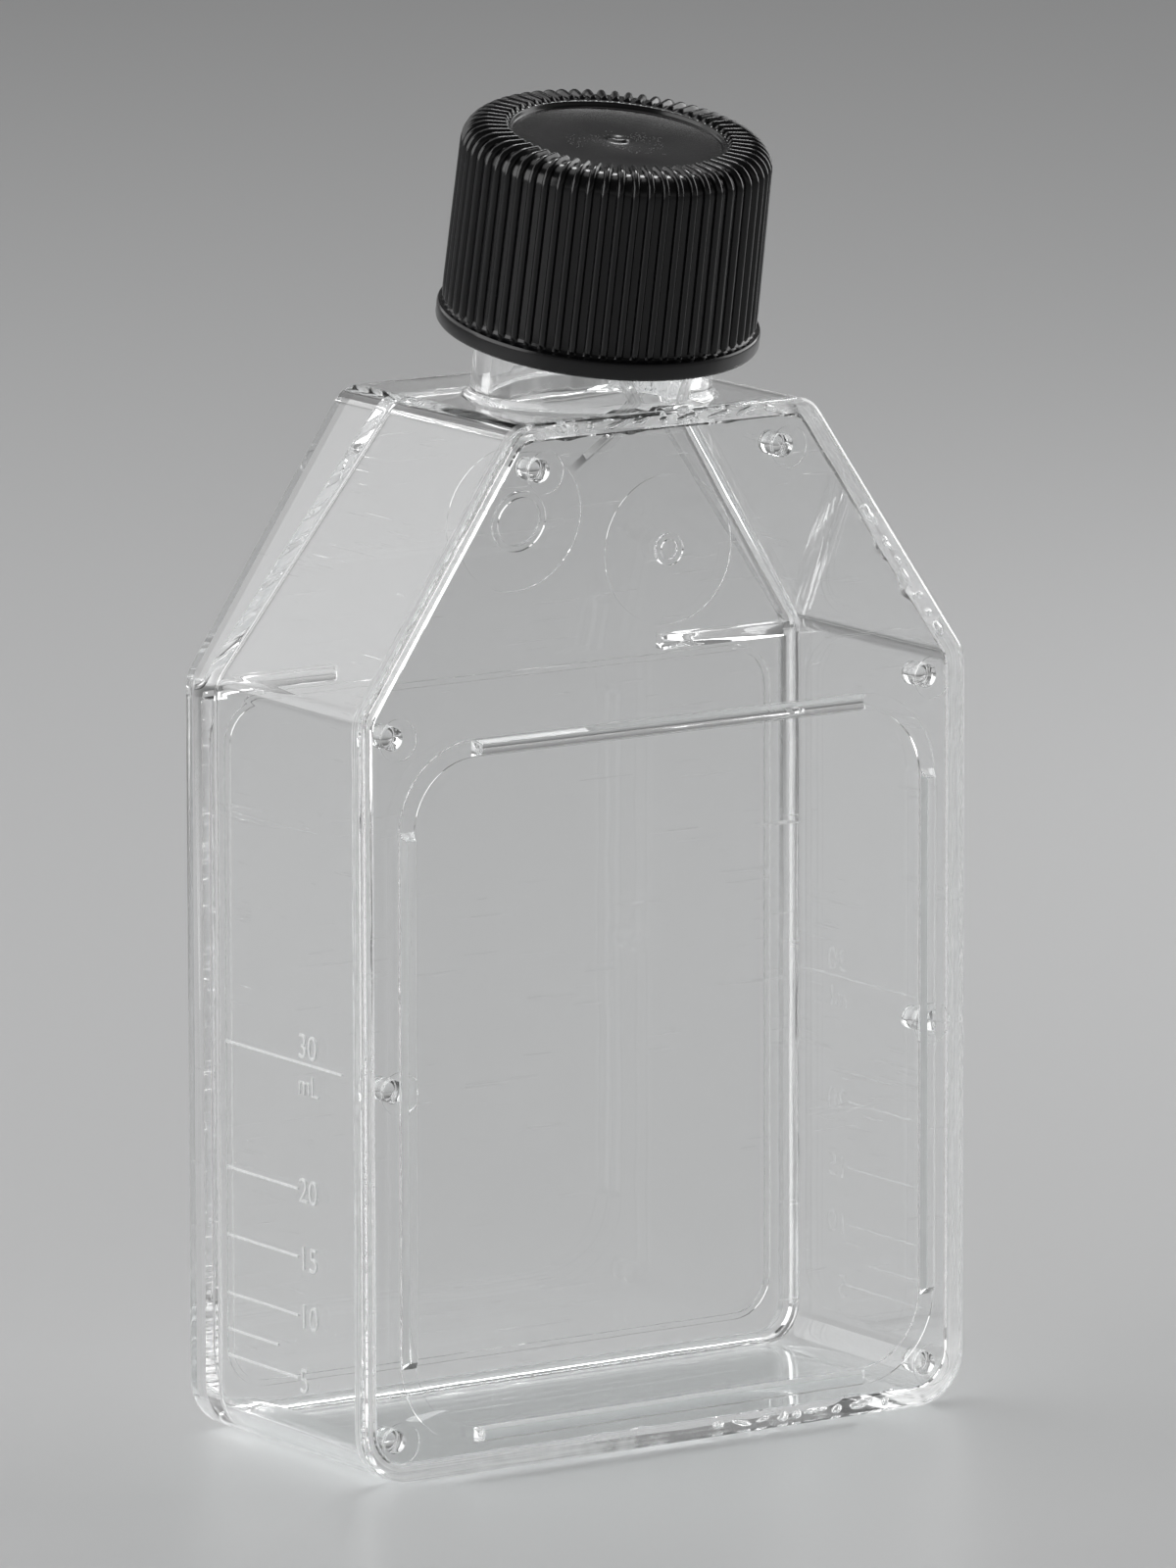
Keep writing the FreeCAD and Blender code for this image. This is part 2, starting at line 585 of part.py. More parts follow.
def make_screw_cap():
    """Ribbed cap: a turned shell, then one rib up its side and over its crown, repeated round."""
    body = new_body("screw_cap")
    dish = f"({CROWN} - sheet.dish_depth)"
    root_at_crown = f"{CAP_ROOT} - {CAP_NARROWING}"
    sketch = new_sketch(body, "XZ_Plane", "shell_profile")
    draw_outline(sketch, (
        (CAP_BORE, "0"),
        (f"{FLANGE_RADIUS} - sheet.flange_bevel", "0"),
        (FLANGE_RADIUS, "sheet.flange_bevel"),
        (FLANGE_RADIUS, "sheet.flange_height - sheet.flange_bevel"),
        (f"{FLANGE_RADIUS} - sheet.flange_bevel", "sheet.flange_height"),
        (CAP_ROOT, "sheet.flange_height"),
        *two_flats(root_at_crown, CROWN, "sheet.crown_round"),
        (DISH_RADIUS, CROWN),
        (DISH_RADIUS, dish),
        ("sheet.cap_gate_radius", dish),
        ("sheet.cap_gate_radius", f"{dish} + sheet.cap_gate_raise"),
        ("0", f"{dish} + sheet.cap_gate_raise"),
        ("0", CROWN_UNDERSIDE),
        (CAP_BORE, CROWN_UNDERSIDE),
    ))
    revolve(body, "Revolution", sketch, "shell")
    sketch = new_sketch(body, "XZ_Plane", "rib_profile")
    draw_outline(sketch, (
        (f"{CAP_ROOT} - {ROOTED}", f"sheet.flange_height - {ROOTED}"),
        (CAP_RADIUS, f"sheet.flange_height - {ROOTED}"),
        *two_flats(
            f"{CAP_RADIUS} - {CAP_NARROWING}", "sheet.cap_height", "sheet.crown_round + sheet.rib_raise"
        ),
        (RIB_END, "sheet.cap_height"),
        (RIB_END, f"{CROWN} - {ROOTED}"),
        *reversed(two_flats(f"{root_at_crown} - {ROOTED}", f"{CROWN} - {ROOTED}", "sheet.crown_round")),
    ))
    rib = extrude(body, "Pad", sketch, "rib", "sheet.rib_width", both_ways=True)
    volume = volume_of(body)
    ribs = body.newObject("PartDesign::PolarPattern", "ribs")
    ribs.Originals = [rib]
    ribs.Axis = (next(item for item in body.Origin.OriginFeatures if item.Role == "Z_Axis"), [""])
    ribs.Angle = 360
    ribs.setExpression("Occurrences", "sheet.rib_count")
    body.Tip = ribs
    doc.recompute()
    check_change(body, ribs, True, volume)
    place_on_neck(body, CAP_FOOT)
    return body


def make_cap_liner():
    """Soft disc in the crown of the cap, pressed on the neck's rim."""
    body = new_body("cap_liner")
    sketch = new_sketch(body, "XY_Plane", "liner_circle")
    draw_circle(sketch, "0", "0", f"{CAP_BORE} - sheet.liner_gap")
    extrude(body, "Pad", sketch, "liner", "sheet.liner_thickness")
    place_on_neck(body, "sheet.neck_reach")
    return body


# ------------------------------------------------------------------------------ build and export

nodes = [make_flask_body(), make_top_plate(), make_screw_cap(), make_cap_liner()]
doc.recompute()

for item in doc.Objects:
    if "Invalid" in item.State or "Error" in item.State:
        raise RuntimeError(f"{item.Label} failed to build")

os.makedirs("parts", exist_ok=True)
for node in nodes:
    shape = node.Shape
    if shape.isNull() or not shape.isValid() or len(shape.Solids) != 1:
        raise RuntimeError(f"{node.Label} is not one valid solid")
    shape.exportStep(f"parts/{node.Label}.step")
    print(f"{node.Label}: {shape.Volume / 1000:.3f} cubic centimetres")
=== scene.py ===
import json
import math
import random

import bmesh
import bpy
from mathutils import Matrix, Vector, noise


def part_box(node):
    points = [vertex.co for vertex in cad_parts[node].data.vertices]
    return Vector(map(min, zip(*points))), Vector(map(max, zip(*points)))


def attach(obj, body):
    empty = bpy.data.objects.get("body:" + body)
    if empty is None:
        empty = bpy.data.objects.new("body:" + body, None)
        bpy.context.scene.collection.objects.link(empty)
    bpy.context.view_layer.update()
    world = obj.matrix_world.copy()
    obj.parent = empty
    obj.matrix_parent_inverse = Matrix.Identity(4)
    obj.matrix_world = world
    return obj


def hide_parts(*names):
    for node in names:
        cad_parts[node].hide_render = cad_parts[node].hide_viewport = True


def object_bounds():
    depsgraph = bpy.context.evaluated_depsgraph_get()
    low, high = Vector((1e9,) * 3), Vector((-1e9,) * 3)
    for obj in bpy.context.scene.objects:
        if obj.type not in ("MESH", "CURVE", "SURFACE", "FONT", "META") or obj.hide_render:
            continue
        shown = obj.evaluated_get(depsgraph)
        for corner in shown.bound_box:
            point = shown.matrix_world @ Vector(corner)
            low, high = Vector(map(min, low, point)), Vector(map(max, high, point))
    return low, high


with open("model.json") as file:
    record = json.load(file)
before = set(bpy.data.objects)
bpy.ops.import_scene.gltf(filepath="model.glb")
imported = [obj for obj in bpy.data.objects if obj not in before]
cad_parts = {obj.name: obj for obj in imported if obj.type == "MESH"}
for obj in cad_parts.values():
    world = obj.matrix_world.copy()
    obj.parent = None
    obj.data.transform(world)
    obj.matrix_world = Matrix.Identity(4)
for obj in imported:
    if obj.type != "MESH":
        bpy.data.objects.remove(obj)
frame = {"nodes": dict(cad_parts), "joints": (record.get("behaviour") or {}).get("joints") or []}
cad_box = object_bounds()

# ---------------------------------------------------------------------------------------------------
# The flask itself: a tub moulded in clear polystyrene with its neck, and a flat plate of the same
# plastic across the open front. The weld melts plate and tub into one wall, so one clear body stands
# for both, with no skin left between them.
# ---------------------------------------------------------------------------------------------------

MM = 0.001
SAME_POINT = 0.000002
HARD_EDGE = math.radians(28)
FLAT_WITHIN = math.radians(0.4)
FLATS_FIRST = 90
WELD_PLANE = -10.7 * MM
PLATE_FACE = -12.1 * MM

# the plastic seen through, what a wall lets past on its way to the floor, and how far it bends light
PLASTIC_CLEAR = (0.985, 0.988, 0.988, 1)
PLASTIC_SHADE = (0.92, 0.93, 0.93, 1)
POLYSTYRENE_BEND = 1.59
# its surface, with depths in millimetres
CLEAR_HAZE = 0.012
WAVE_DEPTH = 0.02
PEEL_DEPTH = 0.0004
SCUFF_DEPTH = 0.004
SCUFF_HAZE = 0.22
SCUFF_SLANTS = (35, -62)
SCUFF_SHAPE = (90, 90, 5200)
SCUFF_LIMIT = 0.79
WORN_LIMIT = 0.56


class Wire:
    """A socket of a material. Arithmetic on it adds Math nodes."""

    def __init__(self, finish, socket):
        self.finish = finish
        self.socket = socket

    def maths(self, operation, *values):
        return self.finish.node("Math", {"operation": operation}, dict(enumerate(values)))

    def __add__(self, other):
        return self.maths("ADD", self, other)

    __radd__ = __add__

    def __sub__(self, other):
        return self.maths("SUBTRACT", self, other)

    def __rsub__(self, other):
        return self.maths("SUBTRACT", other, self)

    def __mul__(self, other):
        return self.maths("MULTIPLY", self, other)

    __rmul__ = __mul__

    def __gt__(self, other):
        return self.maths("GREATER_THAN", self, other)

    def __lt__(self, other):
        return self.maths("LESS_THAN", self, other)


class Finish:
    """A material or a world being made up: node() adds a node and gives back one of its outputs."""

    def __init__(self, name, kind="materials"):
        self.owner = getattr(bpy.data, kind).new(name)
        self.owner.use_nodes = True
        self.tree = self.owner.node_tree
        self.tree.nodes.clear()

    def node(self, kind, settings=None, sockets=None, output=0, stops=None):
        made = self.tree.nodes.new("ShaderNode" + kind)
        for name, setting in (settings or {}).items():
            setattr(made, name, setting)
        if stops:
            for element, (place, value) in zip(made.color_ramp.elements, stops):
                element.position = place
                element.color = (value, value, value, 1)
        for name, value in (sockets or {}).items():
            if isinstance(value, Wire):
                self.tree.links.new(value.socket, made.inputs[name])
            else:
                made.inputs[name].default_value = value
        return Wire(self, made.outputs[output])

    def surface(self, shader, end="OutputMaterial"):
        last = self.tree.nodes.new("ShaderNode" + end)
        self.tree.links.new(shader.socket, last.inputs["Surface"])
        return self.owner


def smooth_mesh(mesh):
    """Round the shading over everything but the hard edges."""
    mesh.polygons.foreach_set("use_smooth", [True] * len(mesh.polygons))
    mesh.set_sharp_from_angle(angle=HARD_EDGE)
    mesh.update()


def put_in_scene(name, data):
    """Add a new object to the scene."""
    added = bpy.data.objects.new(name, data)
    bpy.context.scene.collection.objects.link(added)
    return added


def mesh_from(shape, name):
    """Turn a bmesh into a mesh."""
    mesh = bpy.data.meshes.new(name)
    shape.to_mesh(mesh)
    shape.free()
    return mesh


def piece_from(shape, name, body):
    """Turn a bmesh into a finished piece that rides on a body."""
    mesh = mesh_from(shape, name)
    smooth_mesh(mesh)
    piece = put_in_scene(name, mesh)
    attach(piece, body)
    return piece


def add_part(whole, part):
    """Move one bmesh into another."""
    mesh = mesh_from(part, "part")
    whole.from_mesh(mesh)
    bpy.data.meshes.remove(mesh)


def evaluated(source):
    """The closed shape that a curve, a text or a piece with a modifier comes to."""
    graph = bpy.context.evaluated_depsgraph_get()
    mesh = bpy.data.meshes.new_from_object(source.evaluated_get(graph))
    shape = bmesh.new()
    shape.from_mesh(mesh)
    bpy.data.meshes.remove(mesh)
    bmesh.ops.remove_doubles(shape, verts=shape.verts, dist=SAME_POINT)
    return shape


def raise_slab(shape, by):
    """Turn a flat shape that faces along Y into a closed slab, as thick as it is raised by."""
    grown = bmesh.ops.extrude_face_region(shape, geom=shape.faces[:], use_keep_orig=True)["geom"]
    grown = [item for item in grown if isinstance(item, bmesh.types.BMVert)]
    bmesh.ops.translate(shape, vec=(0, by, 0), verts=grown)
    bmesh.ops.recalc_face_normals(shape, faces=shape.faces)


def merged_copy(node):
    """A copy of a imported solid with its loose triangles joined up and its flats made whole."""
    shape = bmesh.new()
    shape.from_mesh(frame["nodes"][node].data)
    bmesh.ops.remove_doubles(shape, verts=shape.verts, dist=SAME_POINT)
    bmesh.ops.dissolve_limit(
        shape, angle_limit=FLAT_WITHIN, use_dissolve_boundaries=False,
        verts=shape.verts, edges=shape.edges, delimit=set(),
    )
    return shape


def moulded_clear(name):
    """Clear plastic: even, slightly wavy where it cooled, finely scuffed."""
    finish = Finish(name)
    place = finish.node("TexCoord", output="Object")
    waves = finish.node("TexNoise", sockets={
        "Vector": place, "Scale": 95, "Detail": 2, "Roughness": 0.45,
    })
    orange_peel = finish.node("TexNoise", sockets={"Vector": place, "Scale": 620, "Detail": 1})
    # scuffs: long thin streaks at two slants, only where a slow pattern lets them through
    streaks = 0
    for slant in SCUFF_SLANTS:
        turned = finish.node("Mapping", sockets={
            "Vector": place, "Rotation": (0, math.radians(slant), 0), "Scale": SCUFF_SHAPE,
        })
        lines = finish.node("TexNoise", sockets={"Vector": turned, "Scale": 1, "Detail": 0})
        streaks = streaks + (lines > SCUFF_LIMIT)
    worn = finish.node("TexNoise", sockets={"Vector": place, "Scale": 140, "Detail": 1}) > WORN_LIMIT
    scuffs = streaks * worn
    height = waves * WAVE_DEPTH + orange_peel * PEEL_DEPTH - scuffs * SCUFF_DEPTH
    relief = finish.node("Bump", sockets={"Strength": 1, "Distance": MM, "Height": height})
    clear = finish.node("BsdfPrincipled", sockets={
        "Base Color": PLASTIC_CLEAR,
        "Roughness": scuffs * SCUFF_HAZE + CLEAR_HAZE,
        "IOR": POLYSTYRENE_BEND,
        "Transmission Weight": 1,
        "Normal": relief,
    })
    through = finish.node("BsdfTransparent", sockets={"Color": PLASTIC_SHADE})
    lamp_ray = finish.node("LightPath", output="Is Shadow Ray")
    return finish.surface(finish.node("MixShader", sockets={0: lamp_ray, 1: clear, 2: through}))


tub_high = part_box("flask_body")[1]
tub = piece_from(merged_copy("flask_body"), "clear_body", "flask")

# where the plate was pressed on, melted plastic ran into the inner corner and froze there as a bead,
# even along the walls and lumpy where the pressure was uneven
BEAD_STEP = 0.4 * MM
BEAD_THICKNESS = 0.15 * MM
BEAD_ABOVE_WELD = 0.1 * MM
LUMP_SCALE = 520
SMALL_LUMP_SCALE = 1300
SMALL_LUMP_SHARE = 0.4
BEAD_THIN = 0.75
LUMPS_EVERYWHERE = 0.5
LUMPS_WHERE_UNEVEN = 5
# a step is made this much longer than its even share, so that no point lands on the first one again
LONGER_STEP = 1.000001
# uneven pressing: round a height on the right shoulder, and less at the top and on the bottom. A reach
# is how far it is full, and how far it then fades
SHOULDER_MIDDLE = 64 * MM
SHOULDER_REACH = (2.4 * MM, 4 * MM)
TOP_START = 74 * MM
TOP_FADE = 2 * MM
TOP_SHARE = 0.35
BOTTOM_MIDDLE = 8 * MM
BOTTOM_REACH = (6.5 * MM, 13 * MM)
BOTTOM_HEIGHT = (1 * MM, 1 * MM)
BOTTOM_SHARE = 0.6


def wall_lines(depth):
    """The inner and outer edge of the tub's wall, where a plane at this depth cuts it."""
    cut = merged_copy("flask_body")
    across = bmesh.ops.bisect_plane(
        cut, geom=cut.verts[:] + cut.edges[:] + cut.faces[:], dist=SAME_POINT / 10,
        plane_co=(0, depth, 0), plane_no=(0, 1, 0), clear_inner=True, clear_outer=True,
    )
    left = {item for item in across["geom_cut"] if isinstance(item, bmesh.types.BMVert)}
    loops = []
    while left:
        # each line starts at its lowest point, at the left end where that is flat, and goes right
        at = min(left, key=lambda vert: (round(vert.co.z, 6), vert.co.x))
        loop = []
        while at:
            left.discard(at)
            loop.append(at.co.copy())
            ends = [edge.other_vert(at) for edge in at.link_edges]
            at = max((end for end in ends if end in left), key=lambda vert: vert.co.x, default=None)
        loops.append(loop)
    cut.free()
    loops.sort(key=lambda loop: max(point.x for point in loop))
    return loops[-2], loops[-1]


def even_steps(loop, step):
    """Points about one step apart all along a closed line, with no short one at its end."""
    points = []
    spare = 0
    around = sum((end - start).length for start, end in zip(loop, loop[1:] + loop[:1]))
    step = around / round(around / step) * LONGER_STEP
    for start, end in zip(loop, loop[1:] + loop[:1]):
        run = (end - start).length
        along = spare
        while along < run:
            points.append(start.lerp(end, along / run))
            along += step
        spare = along - run
    return points


def ease(share):
    """Goes from nothing to one with a soft start and end."""
    share = min(max(share, 0), 1)
    return share * share * (3 - 2 * share)


def near(distance, full, fade):
    """One up to the full distance either way, and down to nothing over the fade after it."""
    return ease((full + fade - abs(distance)) / fade)


def unevenness(place):
    """How unevenly the weld was pressed at a place of the wall."""
    on_shoulder = near(place.z - SHOULDER_MIDDLE, *SHOULDER_REACH) if place.x > 0 else 0
    on_top = ease((place.z - TOP_START) / TOP_FADE)
    at_bottom = near(place.z, *BOTTOM_HEIGHT) * near(place.x - BOTTOM_MIDDLE, *BOTTOM_REACH)
    return on_shoulder + TOP_SHARE * on_top + BOTTOM_SHARE * at_bottom


inner_edge, outer_edge = wall_lines(WELD_PLANE + BEAD_ABOVE_WELD)
corner_line = even_steps(inner_edge, BEAD_STEP)
bead_curve = bpy.data.curves.new("bead_line", "CURVE")
bead_curve.dimensions = "3D"
bead_curve.bevel_depth = BEAD_THICKNESS
bead_curve.bevel_resolution = 1
run = bead_curve.splines.new("POLY")
run.points.add(len(corner_line) - 1)
run.use_cyclic_u = True
for point, place in zip(run.points, corner_line):
    small_lumps = SMALL_LUMP_SHARE * noise.noise(place * SMALL_LUMP_SCALE)
    lumps = max(0, noise.noise(place * LUMP_SCALE) + small_lumps)
    point.co = (place.x, WELD_PLANE, place.z, 1)
    point.radius = BEAD_THIN + lumps * (LUMPS_EVERYWHERE + LUMPS_WHERE_UNEVEN * unevenness(place))
bead_line = put_in_scene("bead_line", bead_curve)
bead = evaluated(bead_line)
bpy.data.objects.remove(bead_line)
bmesh.ops.recalc_face_normals(bead, faces=bead.faces)

# flat air pockets are caught in the weld where it was pressed unevenly: no two alike, at uneven
# distances. These are the least and the most of each size, in millimetres, with the slant in radians
POCKET_LENGTH = (0.3, 1.15)
POCKET_GAP = (0.12, 0.9)
POCKET_WIDTH = (0.18, 0.40)
POCKET_DEPTH = (0.22, 0.50)
POCKET_SLANT = (-0.35, 0.35)
POCKET_FROM_INSIDE = (0.55, 0.75)
POCKET_DENT = 0.45
DENT_SCALE = 1700
# the stretches of the wall that have pockets, in millimetres: along which axis, across, and up
POCKET_STRETCHES = (
    ("z", (0, 27), (58, 70)),
    ("x", (-11, 11), (76.8, 78.2)),
    ("x", (4, 22), (0, 1.5)),
)
FLASK_MIDDLE = Vector((0, WELD_PLANE, tub_high.z / 2))
chance = random.Random(11)


def air_pockets(wall_run, shape):
    """Add a row of flattened pockets between a stretch of the wall's inner edge and its outside."""
    start, end = wall_run[0], wall_run[-1]
    along = (end - start).normalized()
    outward = Vector((along.z, 0, -along.x))
    outward *= math.copysign(1, outward.dot(start - FLASK_MIDDLE))
    done = 0
    while True:
        length = chance.uniform(*POCKET_LENGTH) * MM
        done += length + chance.uniform(*POCKET_GAP) * MM
        if done + length > (end - start).length:
            break
        width = chance.uniform(*POCKET_WIDTH) * MM
        depth = chance.uniform(*POCKET_DEPTH) * MM
        slant = Matrix.Rotation(chance.uniform(*POCKET_SLANT), 4, "Y")
        place = start + along * done + outward * chance.uniform(*POCKET_FROM_INSIDE) * MM
        place.y = WELD_PLANE
        stand = Matrix((along, (0, 1, 0), outward)).transposed().to_4x4()
        size = Matrix.Diagonal((length, depth, width, 1))
        pocket = bmesh.ops.create_icosphere(
            shape, subdivisions=3, radius=1,
            matrix=Matrix.Translation(place) @ slant @ stand @ size,
        )["verts"]
        for vert in pocket:
            dent = 1 + POCKET_DENT * noise.noise(vert.co * DENT_SCALE)
            vert.co = place + (vert.co - place) * dent
        done += length


pockets = bmesh.new()
for axis, (left, right), (low, high) in POCKET_STRETCHES:
    stretch = [
        place for place in corner_line
        if left * MM < place.x < right * MM and low * MM < place.z < high * MM
    ]
    air_pockets(sorted(stretch, key=lambda place: getattr(place, axis)), pockets)
bmesh.ops.recalc_face_normals(pockets, faces=pockets.faces)

# the plate's locating pins, each with a twin on the left: how far across, and up. They end in low domes
PINS = (
    (23.9 * MM, 3.1 * MM), (23.9 * MM, 29.5 * MM), (23.9 * MM, 55.9 * MM), (10.86 * MM, 74.6 * MM),
)
PIN_RADIUS = 0.895 * MM
PIN_END = WELD_PLANE + 2 * MM
DOME_SUNK = 0.2 * MM
DOME_FLATTEN = 0.8
domes = bmesh.new()
for across, up in PINS:
    for side in (-1, 1):
        place = Matrix.Translation((side * across, PIN_END - DOME_SUNK, up))
        stand = place @ Matrix.Diagonal((1, DOME_FLATTEN, 1, 1))
        bmesh.ops.create_icosphere(domes, subdivisions=3, radius=PIN_RADIUS, matrix=stand)

# a low step runs round the back of the growth floor, a little inside the skirt
STEP_SIDE = 24.0 * MM
STEP_FOOT = 3.1 * MM
STEP_HEAD = 55.6 * MM
STEP_CORNER = 3.3 * MM
STEP_WIDTH = 0.45 * MM
STEP_RAISE = 0.22 * MM
STEP_SUNK = 0.1 * MM
FLOOR_BACK = 10.8 * MM
step = bmesh.new()
step.faces.new([
    step.verts.new((across, FLOOR_BACK - STEP_SUNK, up)) for across, up in (
        (-STEP_SIDE, STEP_FOOT), (STEP_SIDE, STEP_FOOT),
        (STEP_SIDE, STEP_HEAD), (-STEP_SIDE, STEP_HEAD),
    )
])
bmesh.ops.bevel(
    step, geom=step.verts[:], affect="VERTICES", offset=STEP_CORNER,
    segments=8, profile=0.5, material=-1,
)
panel = step.faces[:][0]
bmesh.ops.inset_region(
    step, faces=[panel], thickness=STEP_WIDTH, use_boundary=True, use_even_offset=True,
)
bmesh.ops.delete(step, geom=[panel], context="FACES")
raise_slab(step, STEP_RAISE + STEP_SUNK)

# each stacking bar runs down to the plate in a short ramp at both ends: where the right half's bar
# ends are, across and up, and how far each is turned
BAR_RAISE = 0.8 * MM
BAR_HALF = 0.65 * MM
BAR_SLOPE = math.tan(math.radians(18))
BAR_ENDS = (
    (17.3 * MM, 3.05 * MM, 0), (17.3 * MM, 54.7 * MM, 0),
    (23.3 * MM, 9.05 * MM, -90), (23.3 * MM, 48.7 * MM, 90),
)
RAMP_LENGTH = 1.6 * MM
# two faces this far apart don't lie in one plane, and no gap shows
HIDDEN = 0.01 * MM
ramps = bmesh.new()
for side in (-1, 1):
    for across, up, turn in BAR_ENDS:
        ramp = bmesh.new()
        size = Matrix.Diagonal((RAMP_LENGTH, 1, BAR_RAISE, 1))
        bmesh.ops.create_cube(ramp, size=1, matrix=Matrix.Translation((0, 0, BAR_RAISE / 2)) @ size)
        for vert in ramp.verts:
            vert.co.y = math.copysign(BAR_HALF - HIDDEN - vert.co.z * BAR_SLOPE, vert.co.y)
        bmesh.ops.bisect_plane(
            ramp, geom=ramp.verts[:] + ramp.edges[:] + ramp.faces[:], clear_outer=True,
            plane_co=(-BAR_RAISE * BAR_SLOPE, 0, BAR_RAISE), plane_no=(1, 0, 1),
        )
        bmesh.ops.holes_fill(ramp, edges=ramp.edges)
        # the ramp's own X points out of the bar's end, and its Z out of the plate
        turned = Matrix.Rotation(math.radians(turn if side > 0 else 180 - turn), 4, "Z")
        stood = Matrix.Rotation(math.radians(90), 4, "X")
        place = Matrix.Translation((side * across, PLATE_FACE + HIDDEN, up))
        bmesh.ops.transform(ramp, matrix=place @ stood @ turned, verts=ramp.verts)
        add_part(ramps, ramp)
bmesh.ops.recalc_face_normals(ramps, faces=ramps.faces)

# the weld makes plate, bead and tub one body
WELDING = (
    (merged_copy("top_plate"), "front_plate", "UNION"),
    (ramps, "bar_ramps", "UNION"),
    (domes, "pin_ends", "UNION"),
    (step, "floor_step", "UNION"),
    (bead, "bead", "UNION"),
    (pockets, "pockets", "DIFFERENCE"),
)
for shape, name, operation in WELDING:
    added = piece_from(shape, name, "flask")
    weld = tub.modifiers.new("weld", "BOOLEAN")
    weld.operation = operation
    weld.solver = "EXACT"
    weld.object = added
    welded = evaluated(tub)
    tub.modifiers.remove(weld)
    bpy.data.objects.remove(added)
    bmesh.ops.dissolve_degenerate(welded, edges=welded.edges, dist=SAME_POINT)
    welded.to_mesh(tub.data)
    welded.free()
smooth_mesh(tub.data)

# the large flats keep their own shading beside the small roundings
weighting = tub.modifiers.new("flats_first", "WEIGHTED_NORMAL")
weighting.mode = "FACE_AREA"
weighting.weight = FLATS_FIRST
weighting.keep_sharp = True
clear_polystyrene = moulded_clear("clear_polystyrene")
tub.data.materials.clear()
tub.data.materials.append(clear_polystyrene)
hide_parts("flask_body", "top_plate")

# ---------------------------------------------------------------------------------------------------
# The weld's own face: where plate and wall melted together, a thin milky film stays in the
# polystyrene all round the front. Its bright white band is partly painted light: the film stands in
# for the light carried along the welded walls, as well as for tiny trapped bubbles. It is blotchy
# where the pressure was uneven.
# ---------------------------------------------------------------------------------------------------

FILM_THICKNESS = 0.05 * MM
FILM_DEPTH = 0.12 * MM
FILM_MARGIN = 0.10 * MM
FILM_ROW = 0.28 * MM
FILM_ROWS = 4
FILM_STEP = 0.8 * MM
MILK_AND_PAINTED_LIGHT_WHITE = (0.98, 0.98, 0.98, 1)
MILK_BEND = 1.4
MILK_ROUGHNESS = 0.65
MILK_GLOW = 0.7
# how dense the white is, up to one, partly milk and partly painted light: on the whole, how much
# streaks and blotches change it, how much clearer it is where the pressure was uneven, and its least
# and most
MILK = 0.66
STREAK_MILK = 1.5
STREAK_BEND = 0.09
BLOTCH_MILK = 0.3
UNEVEN_BLOTCH_MILK = 2
UNEVEN_CLEARER = 1.0
MILK_LIMITS = (0.05, 0.85)

film = bmesh.new()
across = film.verts.layers.float.new("across")
uneven = film.verts.layers.float.new("uneven")
front = film.faces.new([
    film.verts.new((place.x, WELD_PLANE + FILM_DEPTH, place.z))
    for place in even_steps(outer_edge, FILM_STEP)
])
for row in range(FILM_ROWS + 1):
    bmesh.ops.inset_region(
        film, faces=[front], thickness=FILM_ROW if row else FILM_MARGIN,
        use_boundary=True, use_even_offset=True,
    )
    for vert in front.verts:
        vert[across] = row / FILM_ROWS
outermost = [face for face in film.faces if any(edge.is_boundary for edge in face.edges)]
bmesh.ops.delete(film, geom=outermost + [front], context="FACES")
for vert in film.verts:
    vert[uneven] = unevenness(vert.co)
raise_slab(film, -FILM_THICKNESS)
weld_film = piece_from(film, "weld_film", "flask")


def milky_weld(name):
    """A white film in clear plastic, partly milk and partly painted light: streaks along the wall, and
    blotches where the weld is uneven.
    """
    finish = Finish(name)
    place = finish.node("TexCoord", output="Object")
    across_wall = finish.node("Attribute", {"attribute_name": "across"}, output="Fac")
    pressed = finish.node("Attribute", {"attribute_name": "uneven"}, output="Fac")
    streak = finish.node("TexNoise", {"noise_dimensions": "4D"}, {
        "Vector": place, "W": across_wall * STREAK_BEND, "Scale": 60, "Detail": 3, "Roughness": 0.6,
    })
    blotch = finish.node("TexNoise", sockets={"Vector": place, "Scale": 620, "Detail": 2})
    streaks = (streak - 0.5) * STREAK_MILK
    blotches = (blotch - 0.5) * (pressed * UNEVEN_BLOTCH_MILK + BLOTCH_MILK)
    milk = streaks + blotches - pressed * UNEVEN_CLEARER + MILK
    least, most = MILK_LIMITS
    share = finish.node("Clamp", sockets={"Value": milk, "Min": least, "Max": most})
    # the film's white is partly painted light, standing in for light carried along the welded walls
    return finish.surface(finish.node("BsdfPrincipled", sockets={
        "Base Color": MILK_AND_PAINTED_LIGHT_WHITE, "Roughness": MILK_ROUGHNESS, "Alpha": share,
        "Transmission Weight": MILK_GLOW, "IOR": MILK_BEND,
    }))


weld_film.data.materials.append(milky_weld("milky_weld"))

# ---------------------------------------------------------------------------------------------------
# The sides of the four stacking bars, which are moulded on the polystyrene plate. These slopes get a
# thin white satin skin, a painted highlight that stands in for the bright light they catch, while the
# bars' fronts are as clear as the plate.
# ---------------------------------------------------------------------------------------------------

SATIN_THICKNESS = 0.02 * MM
LEAST_RUN = 3 * MM
# a slope's normal points this far forward, and a front's or an upright wall's doesn't
SLOPE_FORWARD = (-0.7, -0.1)
# the slopes' white is a painted highlight for the bright light they catch
PAINTED_HIGHLIGHT_WHITE = (0.99, 0.99, 0.99, 1)
SATIN_ROUGHNESS = 0.45
SATIN_COVER = 0.85
SATIN_GRAIN_DEPTH = 0.006

